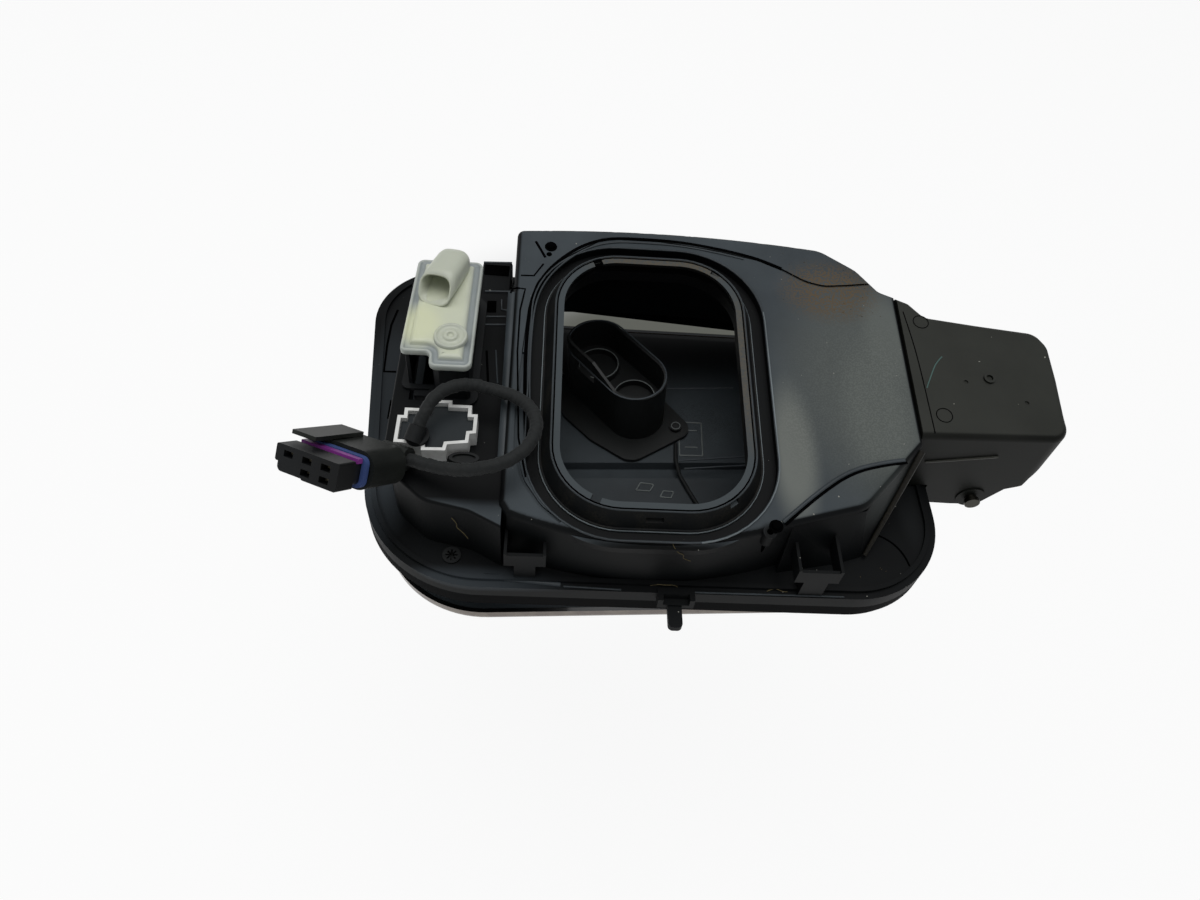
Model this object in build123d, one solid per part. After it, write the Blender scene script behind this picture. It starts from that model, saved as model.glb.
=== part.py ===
from build123d import *
import os
from math import atan2, cos, degrees, radians, sin, tan

# Charging flap module of a car, seen from the side that faces into the body.
# Millimetres. The origin is the middle of the inlet aperture on the rear face,
# +Z points into the body, the flange lies level and the rear face leans by rear_tilt.

# Walls and clearances
wall = 2.5
fit_gap = 0.3
slide_gap = 0.25
pin_gap = 0.05

# Flange and its seal
flange_level = -40.0
flange_thickness = 3.0
rim_width = 3.0
rim_depth = 7.0
pot_right = 114.0
flange_right = pot_right + 15.0
flange_near = -78.0
flange_corners = [(-115, flange_near), (flange_right, flange_near), (flange_right, 84), (-133, 108)]
flange_radii = [52, 42, 38, 36]
bead_width = 2.0
bead_height = 1.6

# Pot with the rear face
rear_tilt = 6.5
pot_left = -60.0
pot_edge_radius = 3.2
inlet_screw_reach = 81.0
inlet_screw_angle = 123.8
inlet_screw_radius = 1.3
inlet_boss_radius = 2.7
groove_width = 1.4
groove_depth = 1.0

groove_points = [
    (105, 60.2), (92, 58.2), (81, 56.9), (72.5, 59.2), (61.4, 66.2), (51.5, 70.9), (34, 75), (6, 79),
    (-20, 79),
    (-38.7, 65.4), (-49.4, 50.1), (-52.4, 35.8), (-55.5, -12), (-55, -36), (-51.7, -49), (-44, -60.5),
    (-36, -66.5),
]
clip_level = -20.0
plug_x = -79.4
plug_y = -64.2
plug_radius = 3.0

# Aperture with its gasket; well_margin and hole_margin are the steps from one rim to the next
gasket_opening = 75.0
gasket_length = 119.0
gasket_radius = 24.5
gasket_lip = 4.0
gasket_lip_thickness = 1.6
gasket_height = 5.5
gasket_base = 8.0
gasket_wall = 2.0
well_margin = 13.5
well_depth = 4.0
hole_margin = 4.0
notch_width = 4.0
notch_depth = 2.0
drain_slot = 7.0

# Deck beside the pot, with the lock drive and the lamp box on it
deck_level = -10.0
deck_left = -108.0
deck_far = 62.0
deck_corner = 14.0

# Hinge
hinge_x = pot_right + 38.5
hinge_z = -46.5
pin_radius = 2.5
pin_head_radius = 3.4
pin_head_length = 2.0
box_right = pot_right + 66.5
box_edge_radius = 3.2
box_near = -20.5
box_far = 42.0
eye_radius = 6.5
arm_near = -9.0
arm_far = 29.0
arm_thickness = 4.0
arm_top = -12.0
arm_left = pot_right - 13.0
arm_leg = pot_right + 2.0
arm_right = pot_right + 48.0
ajar_angle = 4.0

# Flap
flap_inset = 3.0
flap_shift = 3.0
flap_turn = 1.0
flap_top = -57.5
flap_depth = 8.5
skin_thickness = 1.8
skin_edge_radius = 5.0
liner_gap = 0.3
liner_top = -55.5
liner_thickness = 2.0
liner_margin = 7.0
channel_near = -4.0
channel_far = 5.5
channel_depth = 4.0

# Contact cup on the flap
cup_x = -9.5
cup_y = 42.3
cup_spacing = 27.0
cup_turn = 129.7
cup_radius = 14.5
cup_wall = 1.4
cup_height = 32.0
cup_fin_height = 38.5
cup_stretch = 2.5
cup_floor = 15.0
cup_flange = 2.0
recess_radius = 10.4
recess_width = 0.8
recess_height = 1.0
ear_radius = 6.5
rivet_radius = 2.9
tether_radius = 1.0

# Lock
lock_left = deck_left + 5.5
lock_right = deck_left + 34.5
lock_near = -9.0
lock_far = 52.0
lock_top = 12.0
lock_floor = -30.0
cover_rim = 1.6
lock_pin_radius = 2.5
lock_pin_y = 14.0
lock_pin_z = -22.0
boss_radius = 7.0

# Lamp box
lamp_x = -86.8
lamp_y = -26.2
lamp_height = 8.0
lamp_wall = 1.4

# Lead and connector
lead_diameter = 5.6
lead_route = [
    (-93.2, -30.5, 2.0), (-89.9, -22.5, 7.1), (-83.2, -15.2, 8.4), (-74.6, -10.7, 5.9), (-64.5, -11.3, 3.2),
    (-55.0, -14.8, 4.0), (-47.5, -24.0, 6.0), (-46.5, -35.9, 7.3), (-52.8, -46.8, 7.4), (-64.3, -52.0, 6.0),
    (-80.7, -50.0, 0.0), (-96.0, -43.0, -3.0),
]
plug_front = (-127.4, -63.4, 18.4)
plug_length = 37.0
plug_mating = (-0.4508, -0.6115, 0.6503)
plug_across = (0.8903, -0.4486, 0.1942)
collar_width = 33.0
collar_height = 15.0
collar_length = 20.0
nose_width = 28.5
nose_height = 10.5

os.makedirs("parts", exist_ok=True)

rear = Plane(origin=(0, 0, 0), x_dir=(1, 0, 0), z_dir=(0, -sin(radians(rear_tilt)), cos(radians(rear_tilt))))
far_out = 500.0
centred = (Align.CENTER, Align.CENTER, Align.CENTER)
upright = (Align.CENTER, Align.CENTER, Align.MIN)


def slab(face, low, high):
    """A flat face on the XY plane made solid between two levels."""
    return extrude(Pos(0, 0, low) * face, high - low)


def rounded(points, radii):
    """A polygon with one radius for each corner."""
    face = make_face(Polyline(*points, close=True))
    for point, radius in zip(points, radii):
        if radius == 0:
            continue
        corner = face.vertices().sort_by_distance((point[0], point[1], 0))[0]
        face = fillet(corner, radius)
    return face


def block(x0, x1, y0, y1, z0, z1):
    """A box from its two opposite corners."""
    return Pos(x0, y0, z0) * Box(x1 - x0, y1 - y0, z1 - z0, align=(Align.MIN, Align.MIN, Align.MIN))


def above_rear(level):
    """Everything above a plane parallel to the rear face."""
    return rear * Pos(0, 0, level) * Box(far_out, far_out, far_out, align=upright)


def rod(start, direction, radius, length):
    """A cylinder from a start point along a direction."""
    return Plane(origin=start, z_dir=direction) * Cylinder(radius, length, align=upright)


def rear_z(y):
    """Height of the rear face at a distance across the part."""
    return y * tan(radians(rear_tilt))


def save(name, shape):
    export_step(shape, "parts/" + name + ".step")


# Flange outline, also that of the seal and, drawn in and moved, of the flap

flange_outline = rounded(flange_corners, flange_radii)


def flange_band(outer, inner):
    """A ring that follows the flange outline between two insets."""
    outer_face = flange_outline if outer == 0 else offset(flange_outline, -outer)
    return outer_face - offset(flange_outline, -inner)


# Pot outline in plan: bowed towards the viewer, stepped in towards the hinge

near_bend = (55, -63)
near_corner = (pot_right - 28, -54.5)
side_corner = (pot_right, -24)
wall_foot = (82.4, -61.5)
corner_foot = (pot_right - 21.5, -58)


def pot_plan():
    near_left = (pot_left + 3, -63)
    far_step = (pot_right - 7, 57)
    far_bend = (pot_right - 16, 69)
    far_right = (pot_right - 32, 80)
    edges = [
        Line((pot_left, 82), (pot_left, -58)),
        Line((pot_left, -58), near_left),
        ThreePointArc(near_left, (0, -73), near_bend),
        Line(near_bend, near_corner),
        Line(near_corner, side_corner),
        Line(side_corner, (pot_right, 54)),
        Line((pot_right, 54), far_step),
        Line(far_step, far_bend),
        Line(far_bend, far_right),
        ThreePointArc(far_right, (0, 85), (pot_left, 82)),
    ]
    face = make_face(edges)
    turns = [
        (near_bend, 20), (near_corner, 14), (far_step, 5), (far_bend, 14), (far_right, 14),
        ((pot_left, 82), 3)
    ]
    for point, radius in turns:
        corner = face.vertices().sort_by_distance((point[0], point[1], 0))[0]
        face = fillet(corner, radius)
    return face


def deck_plan():
    right = pot_left + 1
    points = [
        (deck_left, -30), (deck_left + 5, -45), (deck_left + 18, -57), (deck_left + 36, -61), (right, -68),
        (right, deck_far),
        (deck_left + deck_corner, deck_far), (deck_left, deck_far - deck_corner),
    ]
    return rounded(points, [12, 10, 14, 12, 0, 0, 6, 6])


def opening_face(grow=0.0):
    """The opening of the gasket, made larger all round."""
    return RectangleRounded(gasket_opening + 2 * grow, gasket_length + 2 * grow, gasket_radius + grow)


def pyramid(base, apex):
    """A solid from a flat polygon and one point off it."""
    faces = [make_face(Polyline(*base, close=True))]
    for a, b in zip(base, base[1:] + base[:1]):
        faces.append(make_face(Polyline(a, b, apex, close=True)))
    return Solid(Shell(faces))


def near_wall_slopes():
    """The near wall leans out towards its foot between the right clip and the hinge box."""
    foot = flange_level - 1

    def top(point):
        return (point[0], point[1], rear_z(point[1]) - pot_edge_radius)

    def down(point):
        return (point[0], point[1], foot)

    bend_foot = (near_bend[0], near_bend[1] - 4, foot)
    first = [top(near_bend), top(near_corner), down(near_corner), down(near_bend)]
    second = [top(near_corner), top(side_corner), down(side_corner), down(near_corner)]
    return [
        pyramid(first, down(wall_foot)),
        pyramid([top(near_bend), down(near_bend), bend_foot], down(wall_foot)),
        pyramid(second, down(corner_foot)),
        pyramid([top(near_corner), down(near_corner), down(wall_foot)], down(corner_foot)),
    ]


def make_pot_housing():
    flange_bottom = flange_level - flange_thickness
    pot_face = pot_plan()
    deck_face = deck_plan()
    body = slab(pot_face, flange_bottom, 40) - above_rear(0)
    top = body.faces().filter_by(lambda f: f.normal_at().dot(rear.z_dir) > 0.99).sort_by(Axis.Z)[-1]
    body = fillet(top.outer_wire().edges(), pot_edge_radius)
    deck = slab(deck_face, flange_bottom, deck_level)
    deck_top = deck.faces().sort_by(Axis.Z)[-1]
    deck = fillet(deck_top.edges().filter_by(lambda e: e.center().X < pot_left), 1.5)
    deck -= slab(offset(deck_face, -wall), flange_bottom - 1, deck_level - wall)
    flange = slab(flange_outline, flange_bottom, flange_level)
    rim = slab(flange_band(0, rim_width), flange_level - rim_depth, flange_bottom)
    bead = slab(flange_band(rim_width, rim_width + bead_width), flange_level, flange_level + bead_height)
    shell = body + deck + flange + rim + bead
    for slope in near_wall_slopes():
        shell += slope
    cavity = slab(offset(pot_face, -wall), flange_bottom, 40) - above_rear(-wall)
    shell -= cavity
    # hinge window: the arm passes through the right wall and the flange
    window_right = flange_right - rim_width - bead_width
    shell -= block(arm_left, window_right, arm_near - 4, arm_far + 4, flange_bottom - 1, -wall - 4)
    # hollow under the deck, with the lock drive's opening
    inner_deck = offset(deck_face, -wall)
    shell -= slab(inner_deck, flange_bottom - 1, flange_level + 1)
    shell -= block(
        lock_left + 1.5, lock_right - 1.5, lock_near + 1.5, lock_far - 1.5, deck_level - wall - 1,
        deck_level + 1
    )
    shell -= rod((pot_left - wall, lock_pin_y, lock_pin_z), (1, 0, 0), lock_pin_radius + 1.5, 3 * wall)
    # inlet well, aperture and the screw holes beside it
    well = extrude(rear * Pos(0, 0, -well_depth) * opening_face(well_margin), well_depth + 10)
    floor = extrude(rear * Pos(0, 0, -well_depth - wall) * opening_face(well_margin + wall), well_depth)
    hole = extrude(rear * Pos(0, 0, -20) * opening_face(hole_margin), 40)
    shell = shell + floor - well - hole
    for side in (0, 180):
        place = rear * Rot(0, 0, inlet_screw_angle + side) * Pos(inlet_screw_reach, 0, 0)
        shell += place * Pos(0, 0, -8) * Cylinder(inlet_boss_radius, 8, align=upright)
        shell -= place * Cylinder(inlet_screw_radius, 40)
    # fine groove round the well, and the plug hole in the flange
    line = FilletPolyline(*groove_points, radius=16)
    shell -= extrude(rear * Pos(0, 0, -groove_depth) * trace(line, groove_width), groove_depth + 3)
    shell -= Pos(plug_x, plug_y, flange_level) * Cylinder(plug_radius, 20)
    for piece in make_clip_and_hook():
        shell += piece
    return shell



def make_clip_and_hook():
    """The two U-shaped clip brackets at the near wall and the finger on the flange."""
    pieces = []
    for left, right, near, far in [(-57.5, -41.0, -74.0, -60.0), (58.5, 76.5, -77.0, -60.0)]:
        lower = flange_level - 1
        top = clip_level
        pieces.append(block(left, left + 1.2, near, far, top - 9, top))
        pieces.append(block(right - 1.2, right, near, far, top - 9, top))
        pieces.append(block(left, right, near, near + 1.4, top - 9, top - 1))
        pieces.append(block(left + 4, right - 4, near, near + 1.8, lower, top - 8))
        pieces.append(block(left + 4, left + 5.6, near, near + 6, lower, top - 12))
        pieces.append(block(right - 5.6, right - 4, near, near + 6, lower, top - 12))
    finger = block(9.2, 15.0, -91.4, -76.5, flange_level - 6.5, flange_level - 3.5)
    finger = fillet(finger.edges().filter_by(Axis.Z).group_by(Axis.Y)[0], 2.0)
    frame = block(4.9, 19.9, -82.0, -76.5, flange_level - 5, flange_level + 1.5)
    frame -= block(7.0, 17.8, -83.0, -79.0, flange_level - 2.5, flange_level + 2)
    pieces += [finger, frame]
    return pieces


def make_flange_seal():
    lower = flange_level - rim_depth
    outer = slab(flange_band(0, rim_width), lower - 6.0, lower)
    lip = slab(flange_band(1.2, rim_width + 0.6), lower - 9.5, lower - 6.0)
    return outer + lip


def gasket_ring(outer, inner, low, high):
    """A ring round the aperture between two margins and two levels above the rear face."""
    return extrude(rear * Pos(0, 0, low) * (opening_face(outer) - opening_face(inner)), high - low)


def make_aperture_gasket():
    """Soft surround of the inlet: a thin lip, a leaning flank, and a neck clipped through the floor."""
    base = -well_depth
    rise = gasket_height - base
    lean = degrees(atan2(gasket_base - gasket_lip, rise))
    flank = extrude(rear * Pos(0, 0, base) * opening_face(gasket_base), rise, taper=lean)
    flank -= extrude(
        rear * Pos(0, 0, base - 1) * opening_face(gasket_base - gasket_wall + 0.4),
        rise - gasket_lip_thickness + 1, taper=lean
    )
    flank -= extrude(rear * Pos(0, 0, -20) * opening_face(0), 60)
    flank -= extrude(
        rear * Pos(0, 0, base - 1) * opening_face(gasket_lip - gasket_wall), rise - gasket_lip_thickness + 1
    )
    neck_outer = hole_margin - 0.2
    neck_inner = neck_outer - gasket_wall + 0.4
    below = base - wall
    gasket = flank + gasket_ring(gasket_base, neck_inner, base, base + 1.6)
    gasket += gasket_ring(neck_outer, neck_inner, below - 2, base + 0.5)
    gasket += gasket_ring(hole_margin + 2, neck_inner, below - 2, below)
    for x, y in [(-23, 59), (30, 57), (-23, -59), (31, -58)]:
        place = rear * Pos(x, y, gasket_height) * Rot(0, 0, degrees(atan2(y, x)))
        gasket -= place * Box(notch_depth * 2, notch_width, 5, align=centred)
    middle = -gasket_length / 2 - gasket_lip - 1.5
    gasket -= rear * Pos(0, middle, gasket_height / 2 - 1) * Box(drain_slot, 8, 2.6)
    return gasket


box_outline = [
    (pot_right + 0.2, box_near), (box_right - 1.5, box_near + 1.3), (box_right - 1.3, -7.1), (box_right, 12),
    (box_right + 0.4, 30), (box_right - 4, 37.5), (box_right - 31.6, 40.6), (pot_right + 12.2, 43.6),
    (pot_right + 6, 51), (pot_right + 0.2, 53.6),
]


def make_hinge_box():
    outline = rounded(box_outline, [0, 8, 30, 30, 8, 8, 20, 6, 4, 0])
    right = slab(outline, -56, 40) - above_rear(0)
    top = right.faces().sort_by(Axis.Z)[-1]
    edges = top.outer_wire().edges().filter_by(lambda e: e.center().X > pot_right + 0.5)
    right = fillet(edges, box_edge_radius)
    cavity = slab(offset(outline, -wall), -57, 40) - above_rear(-wall)
    right -= cavity
    # lower edge: rests on the flange at the left, drops beside it and rises to the right
    beside = flange_right + 0.4
    right -= block(100, beside, -60, 80, -70, flange_level + bead_height)
    right -= block(beside - 0.1, beside + 1, -60, 80, -70, -52)
    edge = [(beside, -52), (hinge_x - 7.5, -53), (hinge_x + 5.5, -53), (hinge_x + 13.5, -40.3)]
    edge += [(box_right - 7.5, -37.3), (box_right - 6.5, -31.7), (box_right + 6, -5.3), (box_right + 6, -80)]
    side = edge + [(beside, -80)]
    cutter = Plane.XZ.offset(-90) * make_face(Polyline(*side, close=True))
    right -= extrude(cutter, 160)
    # left wall open for the arm
    right -= block(
        pot_right - 1, pot_right + wall + 2, arm_near - 4, arm_far + 4, flange_level - 10, -wall - 4
    )
    for y, deep in [(box_near, 8.0), (arm_far + fit_gap + 2, 6.0)]:
        boss = rod((hinge_x, y, hinge_z), (0, 1, 0), eye_radius, deep)
        right += boss
    strut = block(hinge_x - 4, hinge_x + 4, arm_far + fit_gap + 2, box_far - 1.2, hinge_z, -8)
    right += strut
    right -= rod((hinge_x, box_near - 10, hinge_z), (0, 1, 0), pin_radius, 100)
    # boss and dimples on the rear wall
    stud = rear * Pos(hinge_x - 3.8, 9.9, 0)
    right += stud * Cylinder(2.5, 1.0, align=upright)
    right -= stud * Cylinder(1.5, 2.0, align=upright)
    for x, y in [(hinge_x - 14.5, 7.7), (hinge_x + 10.6, -1.8)]:
        right -= rear * Pos(x, y, -0.6) * Cylinder(1.0, 2.0, align=upright)
    return right


def make_hinge_strip():
    """Soft bead down the slope of the near wall, wide at the hinge box and narrow at its foot."""
    top = Vector(*side_corner, rear_z(side_corner[1]) - pot_edge_radius)
    low = Vector(*corner_foot, flange_level + 1)
    along = (low - top).normalized()
    out = Vector(0.78, -0.61, 0.11)
    across = along.cross(out).normalized()
    wide = Plane(
        origin=top + along * 1.5 + out * 0.9, x_dir=across, z_dir=along
    ) * RectangleRounded(4.2, 2.6, 1.0)
    narrow = Plane(
        origin=low - along * 1.0 + out * 0.9, x_dir=across, z_dir=along
    ) * RectangleRounded(1.8, 1.8, 0.7)
    strip = loft([wide, narrow])
    for slope in near_wall_slopes():
        strip -= slope
    strip -= slab(pot_plan(), flange_level, 0)
    return strip - slab(offset(make_face(Polyline(*box_outline, close=True)), 0.1), -50, 10)


def ajar(shape):
    """Turns a piece of the closed flap about the hinge to where it stands in the photo."""
    return Pos(hinge_x, 0, hinge_z) * Rot(0, -ajar_angle, 0) * Pos(-hinge_x, 0, -hinge_z) * shape


flap_outline = Pos(0, flap_shift, 0) * Rot(0, 0, flap_turn) * offset(flange_outline, -flap_inset)


def make_flap_skin():
    shell = slab(flap_outline, flap_top - flap_depth, flap_top)
    edges = shell.faces().sort_by(Axis.Z)[0].edges()
    shell = fillet(edges, skin_edge_radius)
    pocket = slab(offset(flap_outline, -skin_thickness), flap_top - flap_depth + skin_thickness, flap_top + 1)
    lower_pocket = pocket.faces().sort_by(Axis.Z)[0].edges()
    pocket = fillet(lower_pocket, skin_edge_radius - skin_thickness)
    return shell - pocket


arm_screw_radius = 2.0
arm_screw_places = [(arm_leg - 11, arm_near + 9), (arm_leg - 11, arm_far - 9)]
ear_offset = Vector(29.3, -17.3)
rivet_places = [(cup_x + ear_offset.X, cup_y + ear_offset.Y), (cup_x - ear_offset.X, cup_y - ear_offset.Y)]
bumper_places = [(-108, 78), (flange_right - 25, 66), (flange_right - 25, -52)]


def make_flap_liner():
    gap = skin_thickness + liner_gap
    low = flap_top - flap_depth + skin_thickness + 0.1
    rim_face = offset(flap_outline, -gap)
    body = slab(rim_face, low + 3.5, flap_top - 0.4)
    panel_face = offset(flap_outline, -liner_margin)
    body += slab(panel_face, flap_top - 1, liner_top)
    inner = offset(flap_outline, -liner_margin - liner_thickness)
    body -= slab(inner, low - 1, liner_top - liner_thickness)
    # trough across the panel, and the far part a little lower
    trough = block(
        -60, 60, channel_near, channel_far, liner_top - channel_depth - liner_thickness, liner_top - 0.5
    )
    body += trough
    cut = Plane.YZ.offset(-57) * make_face(Polyline(
        (channel_near, liner_top + 1), (channel_near, liner_top - channel_depth + 1),
        (channel_far - 1.5, liner_top - channel_depth),
        (channel_far, liner_top + 1), close=True,
    ))
    body -= extrude(cut, 114)
    # feet that stand on the skin
    for x, y in [(-98, 58), (-96, -40), (flange_right - 31, 52), (flange_right - 31, -42), (0, -58), (0, 80)]:
        body += Pos(x, y, low) * Cylinder(4, liner_top - liner_thickness - low + 0.5, align=upright)
    body += block(arm_leg - 20, arm_leg + 3, arm_near + 1, arm_far - 1, liner_top - 5, liner_top)
    for x, y in arm_screw_places:
        body -= Pos(x, y, liner_top) * Cylinder(arm_screw_radius + 0.1, 30)
    for x, y in rivet_places:
        body -= Pos(x, y, liner_top) * Cylinder(1.6, 10)
    for x, y in bumper_places:
        body -= Pos(x, y, liner_top) * Cylinder(2.1, 10)
    return body


def make_hinge_arm():
    points = [
        (arm_leg, liner_top + 1), (arm_leg, arm_top - 2), (arm_right, arm_top - 2), (arm_right, -30),
        (hinge_x, hinge_z)
    ]
    line = FilletPolyline(*[Vector(x, z) for x, z in points], radius=5)
    profile = trace(line, arm_thickness)
    width = arm_far - arm_near
    arm = extrude(Plane.XZ.offset(-arm_far) * profile, width)
    arm += block(arm_leg - 19, arm_leg + arm_thickness / 2, arm_near, arm_far, liner_top, liner_top + 3)
    ribs = []
    for y in (arm_near, arm_far - 3):
        low = liner_top + 2
        triangle = make_face(Polyline((arm_leg - 18, low), (arm_leg, low), (arm_leg, -32), close=True))
        corner = Plane.XZ.offset(-y - 3) * triangle
        ribs.append(extrude(corner, 3))
    for rib in ribs:
        arm += rib
    arm += rod((hinge_x, arm_near, hinge_z), (0, 1, 0), eye_radius, width)
    arm -= block(hinge_x - 8, hinge_x + 20, arm_near + 9, arm_far - 9, hinge_z - 9, -32)
    arm -= rod((hinge_x, arm_near - 1, hinge_z), (0, 1, 0), pin_radius + pin_gap, width + 2)
    for x, y in arm_screw_places:
        arm -= Pos(x, y, liner_top) * Cylinder(arm_screw_radius + 0.2, 20)
    return arm


def make_arm_screws():
    screws = []
    for x, y in arm_screw_places:
        head = Pos(x, y, liner_top + 3) * Cylinder(3.8, 2.0, align=upright)
        head -= Pos(x, y, liner_top + 4) * extrude(RegularPolygon(1.8, 6), 2)
        screws.append(head + Pos(x, y, liner_top - 4.5) * Cylinder(arm_screw_radius, 8, align=upright))
    return screws[0] + screws[1]


def stadium(radius):
    """Rounded slot about the two contact recesses, longer at the far end."""
    place = Pos(cup_x, cup_y) * Rot(0, 0, cup_turn) * Pos(cup_stretch / 2, -0.8)
    return place * SlotCenterToCenter(cup_spacing + cup_stretch, 2 * radius)


def hull(circles):
    """The tight outline round circles given as x, y and radius."""
    edges = []
    for x, y, radius in circles:
        edges.append(Pos(x, y) * Edge.make_circle(radius))
    return make_hull(edges)


def make_cap_holder():
    base = liner_top
    ear = ear_offset
    nose = Vector(7.3, -27.8)
    middle = Vector(cup_x, cup_y)
    corners = []
    for side in (1, -1):
        corners.append((middle.X + side * ear.X, middle.Y + side * ear.Y, ear_radius))
        corners.append((middle.X + side * nose.X, middle.Y + side * nose.Y, 9.0))
    corners += [(cup_x - 9, cup_y - 20.3, 5.4), (cup_x - 21.5, cup_y - 7.1, 5.0)]
    foot = slab(hull(corners), base, base + cup_flange)
    foot -= slab(stadium(cup_radius - 2), base - 1, base + cup_flange + 1)
    wall_ring = slab(stadium(cup_radius) - stadium(cup_radius - cup_wall), base, base + cup_height)
    floor = slab(stadium(cup_radius - 0.5), base + cup_floor - 1.5, base + cup_floor)
    cup = foot + wall_ring + floor
    turn = radians(cup_turn)
    for side in (1, -1):
        x = cup_x + side * cup_spacing / 2 * cos(turn)
        y = cup_y + side * cup_spacing / 2 * sin(turn)
        ring = Circle(recess_radius) - Circle(recess_radius - recess_width)
        cup += Pos(x, y, base + cup_floor - 0.5) * extrude(ring, recess_height + 3)
    # the left wall stands higher than the rest, sloping up from the near end, with a window in it
    axis = Pos(cup_x, cup_y, base) * Rot(0, 0, cup_turn)
    high = slab(
        stadium(cup_radius) - stadium(cup_radius - cup_wall), base + cup_height - 1, base + cup_fin_height
    )
    high &= axis * Pos(4.5, 16, 0) * Box(37, 12, 200, align=centred)
    ramp = Polyline((-14, cup_height), (2, cup_fin_height), (-14, cup_fin_height + 8), close=True)
    high -= axis * extrude(Plane.XZ * make_face(ramp), 60, both=True)
    cup += high
    cup -= axis * Pos(7, 12, 28) * Box(12.8, 6, 6, align=centred)
    for side in (1, -1):
        cup -= Pos(middle.X + side * ear.X, middle.Y + side * ear.Y, base) * Cylinder(1.6, 20)
    return cup


def make_holder_rivets():
    rivets = None
    for x, y in rivet_places:
        one = Pos(x, y, liner_top + cup_flange) * Cylinder(rivet_radius, 1.6, align=upright)
        one += Pos(x, y, liner_top - liner_thickness) * Cylinder(
            1.5, liner_thickness + cup_flange + 0.2, align=upright
        )
        rivets = one if rivets is None else rivets + one
    return rivets


def tube(points, radius, bend):
    """A round rod along straight runs joined by arcs."""
    route = FilletPolyline(*points, radius=bend)
    profile = Plane(origin=route @ 0, z_dir=route % 0) * Circle(radius)
    return sweep(profile, route)


def make_tether():
    z = liner_top + tether_radius + 0.1
    points = [(19.6, 15.6, z), (19.1, 6, z), (20.5, -3, z), (24.3, -12, z), (29, -22, z)]
    return tube(points, tether_radius, 5)


def make_striker():
    post = block(-53, -46, lock_pin_y - 7, lock_pin_y + 7, liner_top, lock_pin_z + 6.5)
    post = fillet(post.edges().filter_by(Axis.X).group_by(Axis.Z)[-1], 5)
    post += block(-53, -38, lock_pin_y - 8.5, lock_pin_y + 8.5, liner_top, liner_top + 2.5)
    post -= rod((-60, lock_pin_y, lock_pin_z), (1, 0, 0), 3.5, 20)
    return post


def make_flap_bumpers():
    bumpers = None
    for x, y in bumper_places:
        one = Pos(x, y, liner_top) * Cone(4.5, 3.0, 4, align=upright)
        one += Pos(x, y, liner_top - 1.5) * Cylinder(2.0, 2.0, align=upright)
        bumpers = one if bumpers is None else bumpers + one
    return bumpers


# Lock drive

cover_outline = [
    (lock_left + 1, lock_far), (lock_right - 2.5, lock_far), (lock_right, lock_far - 3),
    (lock_right, lock_near + 2.5),
    (lock_right - 2, lock_near), (lock_left + 14.5, lock_near), (lock_left + 11.2, lock_near + 3),
    (lock_left + 10.9, lock_near + 7.7), (lock_left - 1, lock_near + 7.7),
]


def make_actuator_body():
    face = rounded(cover_outline, [3, 2, 3, 2, 2, 1.5, 1.5, 1.0, 2])
    inner = offset(face, -1.8)
    body = slab(inner, deck_level, lock_top)
    low = block(
        lock_left + 3.5, lock_right - 3.5, lock_near + 3.5, lock_far - 3.5, lock_floor + 2, deck_level + 0.5
    )
    body += low
    body += slab(offset(face, 1.2) - offset(face, -2), deck_level, deck_level + 1.5)
    body += rod((lock_right - 5, lock_pin_y, lock_pin_z), (1, 0, 0), 6.0, 8.0)
    body -= rod((lock_right - 20, lock_pin_y, lock_pin_z), (1, 0, 0), lock_pin_radius + slide_gap, 40)
    body -= block(
        lock_left + 2.5, lock_right - 6.5, lock_near + 9, lock_far - 7, lock_floor + 4, lock_top - 2
    )
    return body


def make_actuator_cover():
    face = rounded(cover_outline, [3, 2, 3, 2, 2, 1.5, 1.5, 1.0, 2])
    cover = slab(face, lock_top - 2.5, lock_top + 0.8)
    cover += slab(offset(face, -cover_rim), lock_top, lock_top + 1.2)
    cover += slab(offset(face, -cover_rim - 2.5), lock_top, lock_top + 2.4)
    cover -= slab(offset(face, -1.3), lock_top - 3, lock_top)
    boss = Pos(lock_right - 9.7, 8.6, lock_top + 1)
    cover += boss * Cylinder(boss_radius, 3.4, align=upright)
    cover -= boss * Pos(0, 0, 2.6) * (
        Cylinder(boss_radius - 1.2, 2, align=upright) - Cylinder(2.4, 2, align=upright)
    )
    cover -= boss * Pos(0, 0, 2.8) * Cylinder(1.0, 2, align=upright)
    # the oval spout lies on the cover and opens towards the near side
    mouth = (lock_left + 11, 26, lock_top + 8.2)
    spout = Plane(origin=mouth, x_dir=(0.95, -0.3, 0.1), z_dir=(0.28, 0.95, -0.12))
    outer = extrude(spout * SlotOverall(14, 10.5), 29)
    cover += fillet(outer.faces().sort_by(Axis.Y)[-1].edges(), 3)
    cover -= extrude(spout * Pos(0, 0, -1) * SlotOverall(11, 7.5), 24)
    cover += block(lock_left + 14.5, lock_right - 6.5, 28, lock_far - 2, lock_top + 1, lock_top + 5)
    return cover


def make_lock_pin():
    pin = rod((lock_right - 16, lock_pin_y, lock_pin_z), (1, 0, 0), lock_pin_radius, -lock_right + 16 - 56.5)
    pin += block(
        lock_right - 16, lock_right - 7, lock_pin_y - 1.5, lock_pin_y + 1.5, lock_pin_z + 1,
        lock_pin_z + 3.5
    ) & rod(
        (lock_right - 16, lock_pin_y, lock_pin_z), (1, 0, 0), lock_pin_radius, 9)
    return pin


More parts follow.
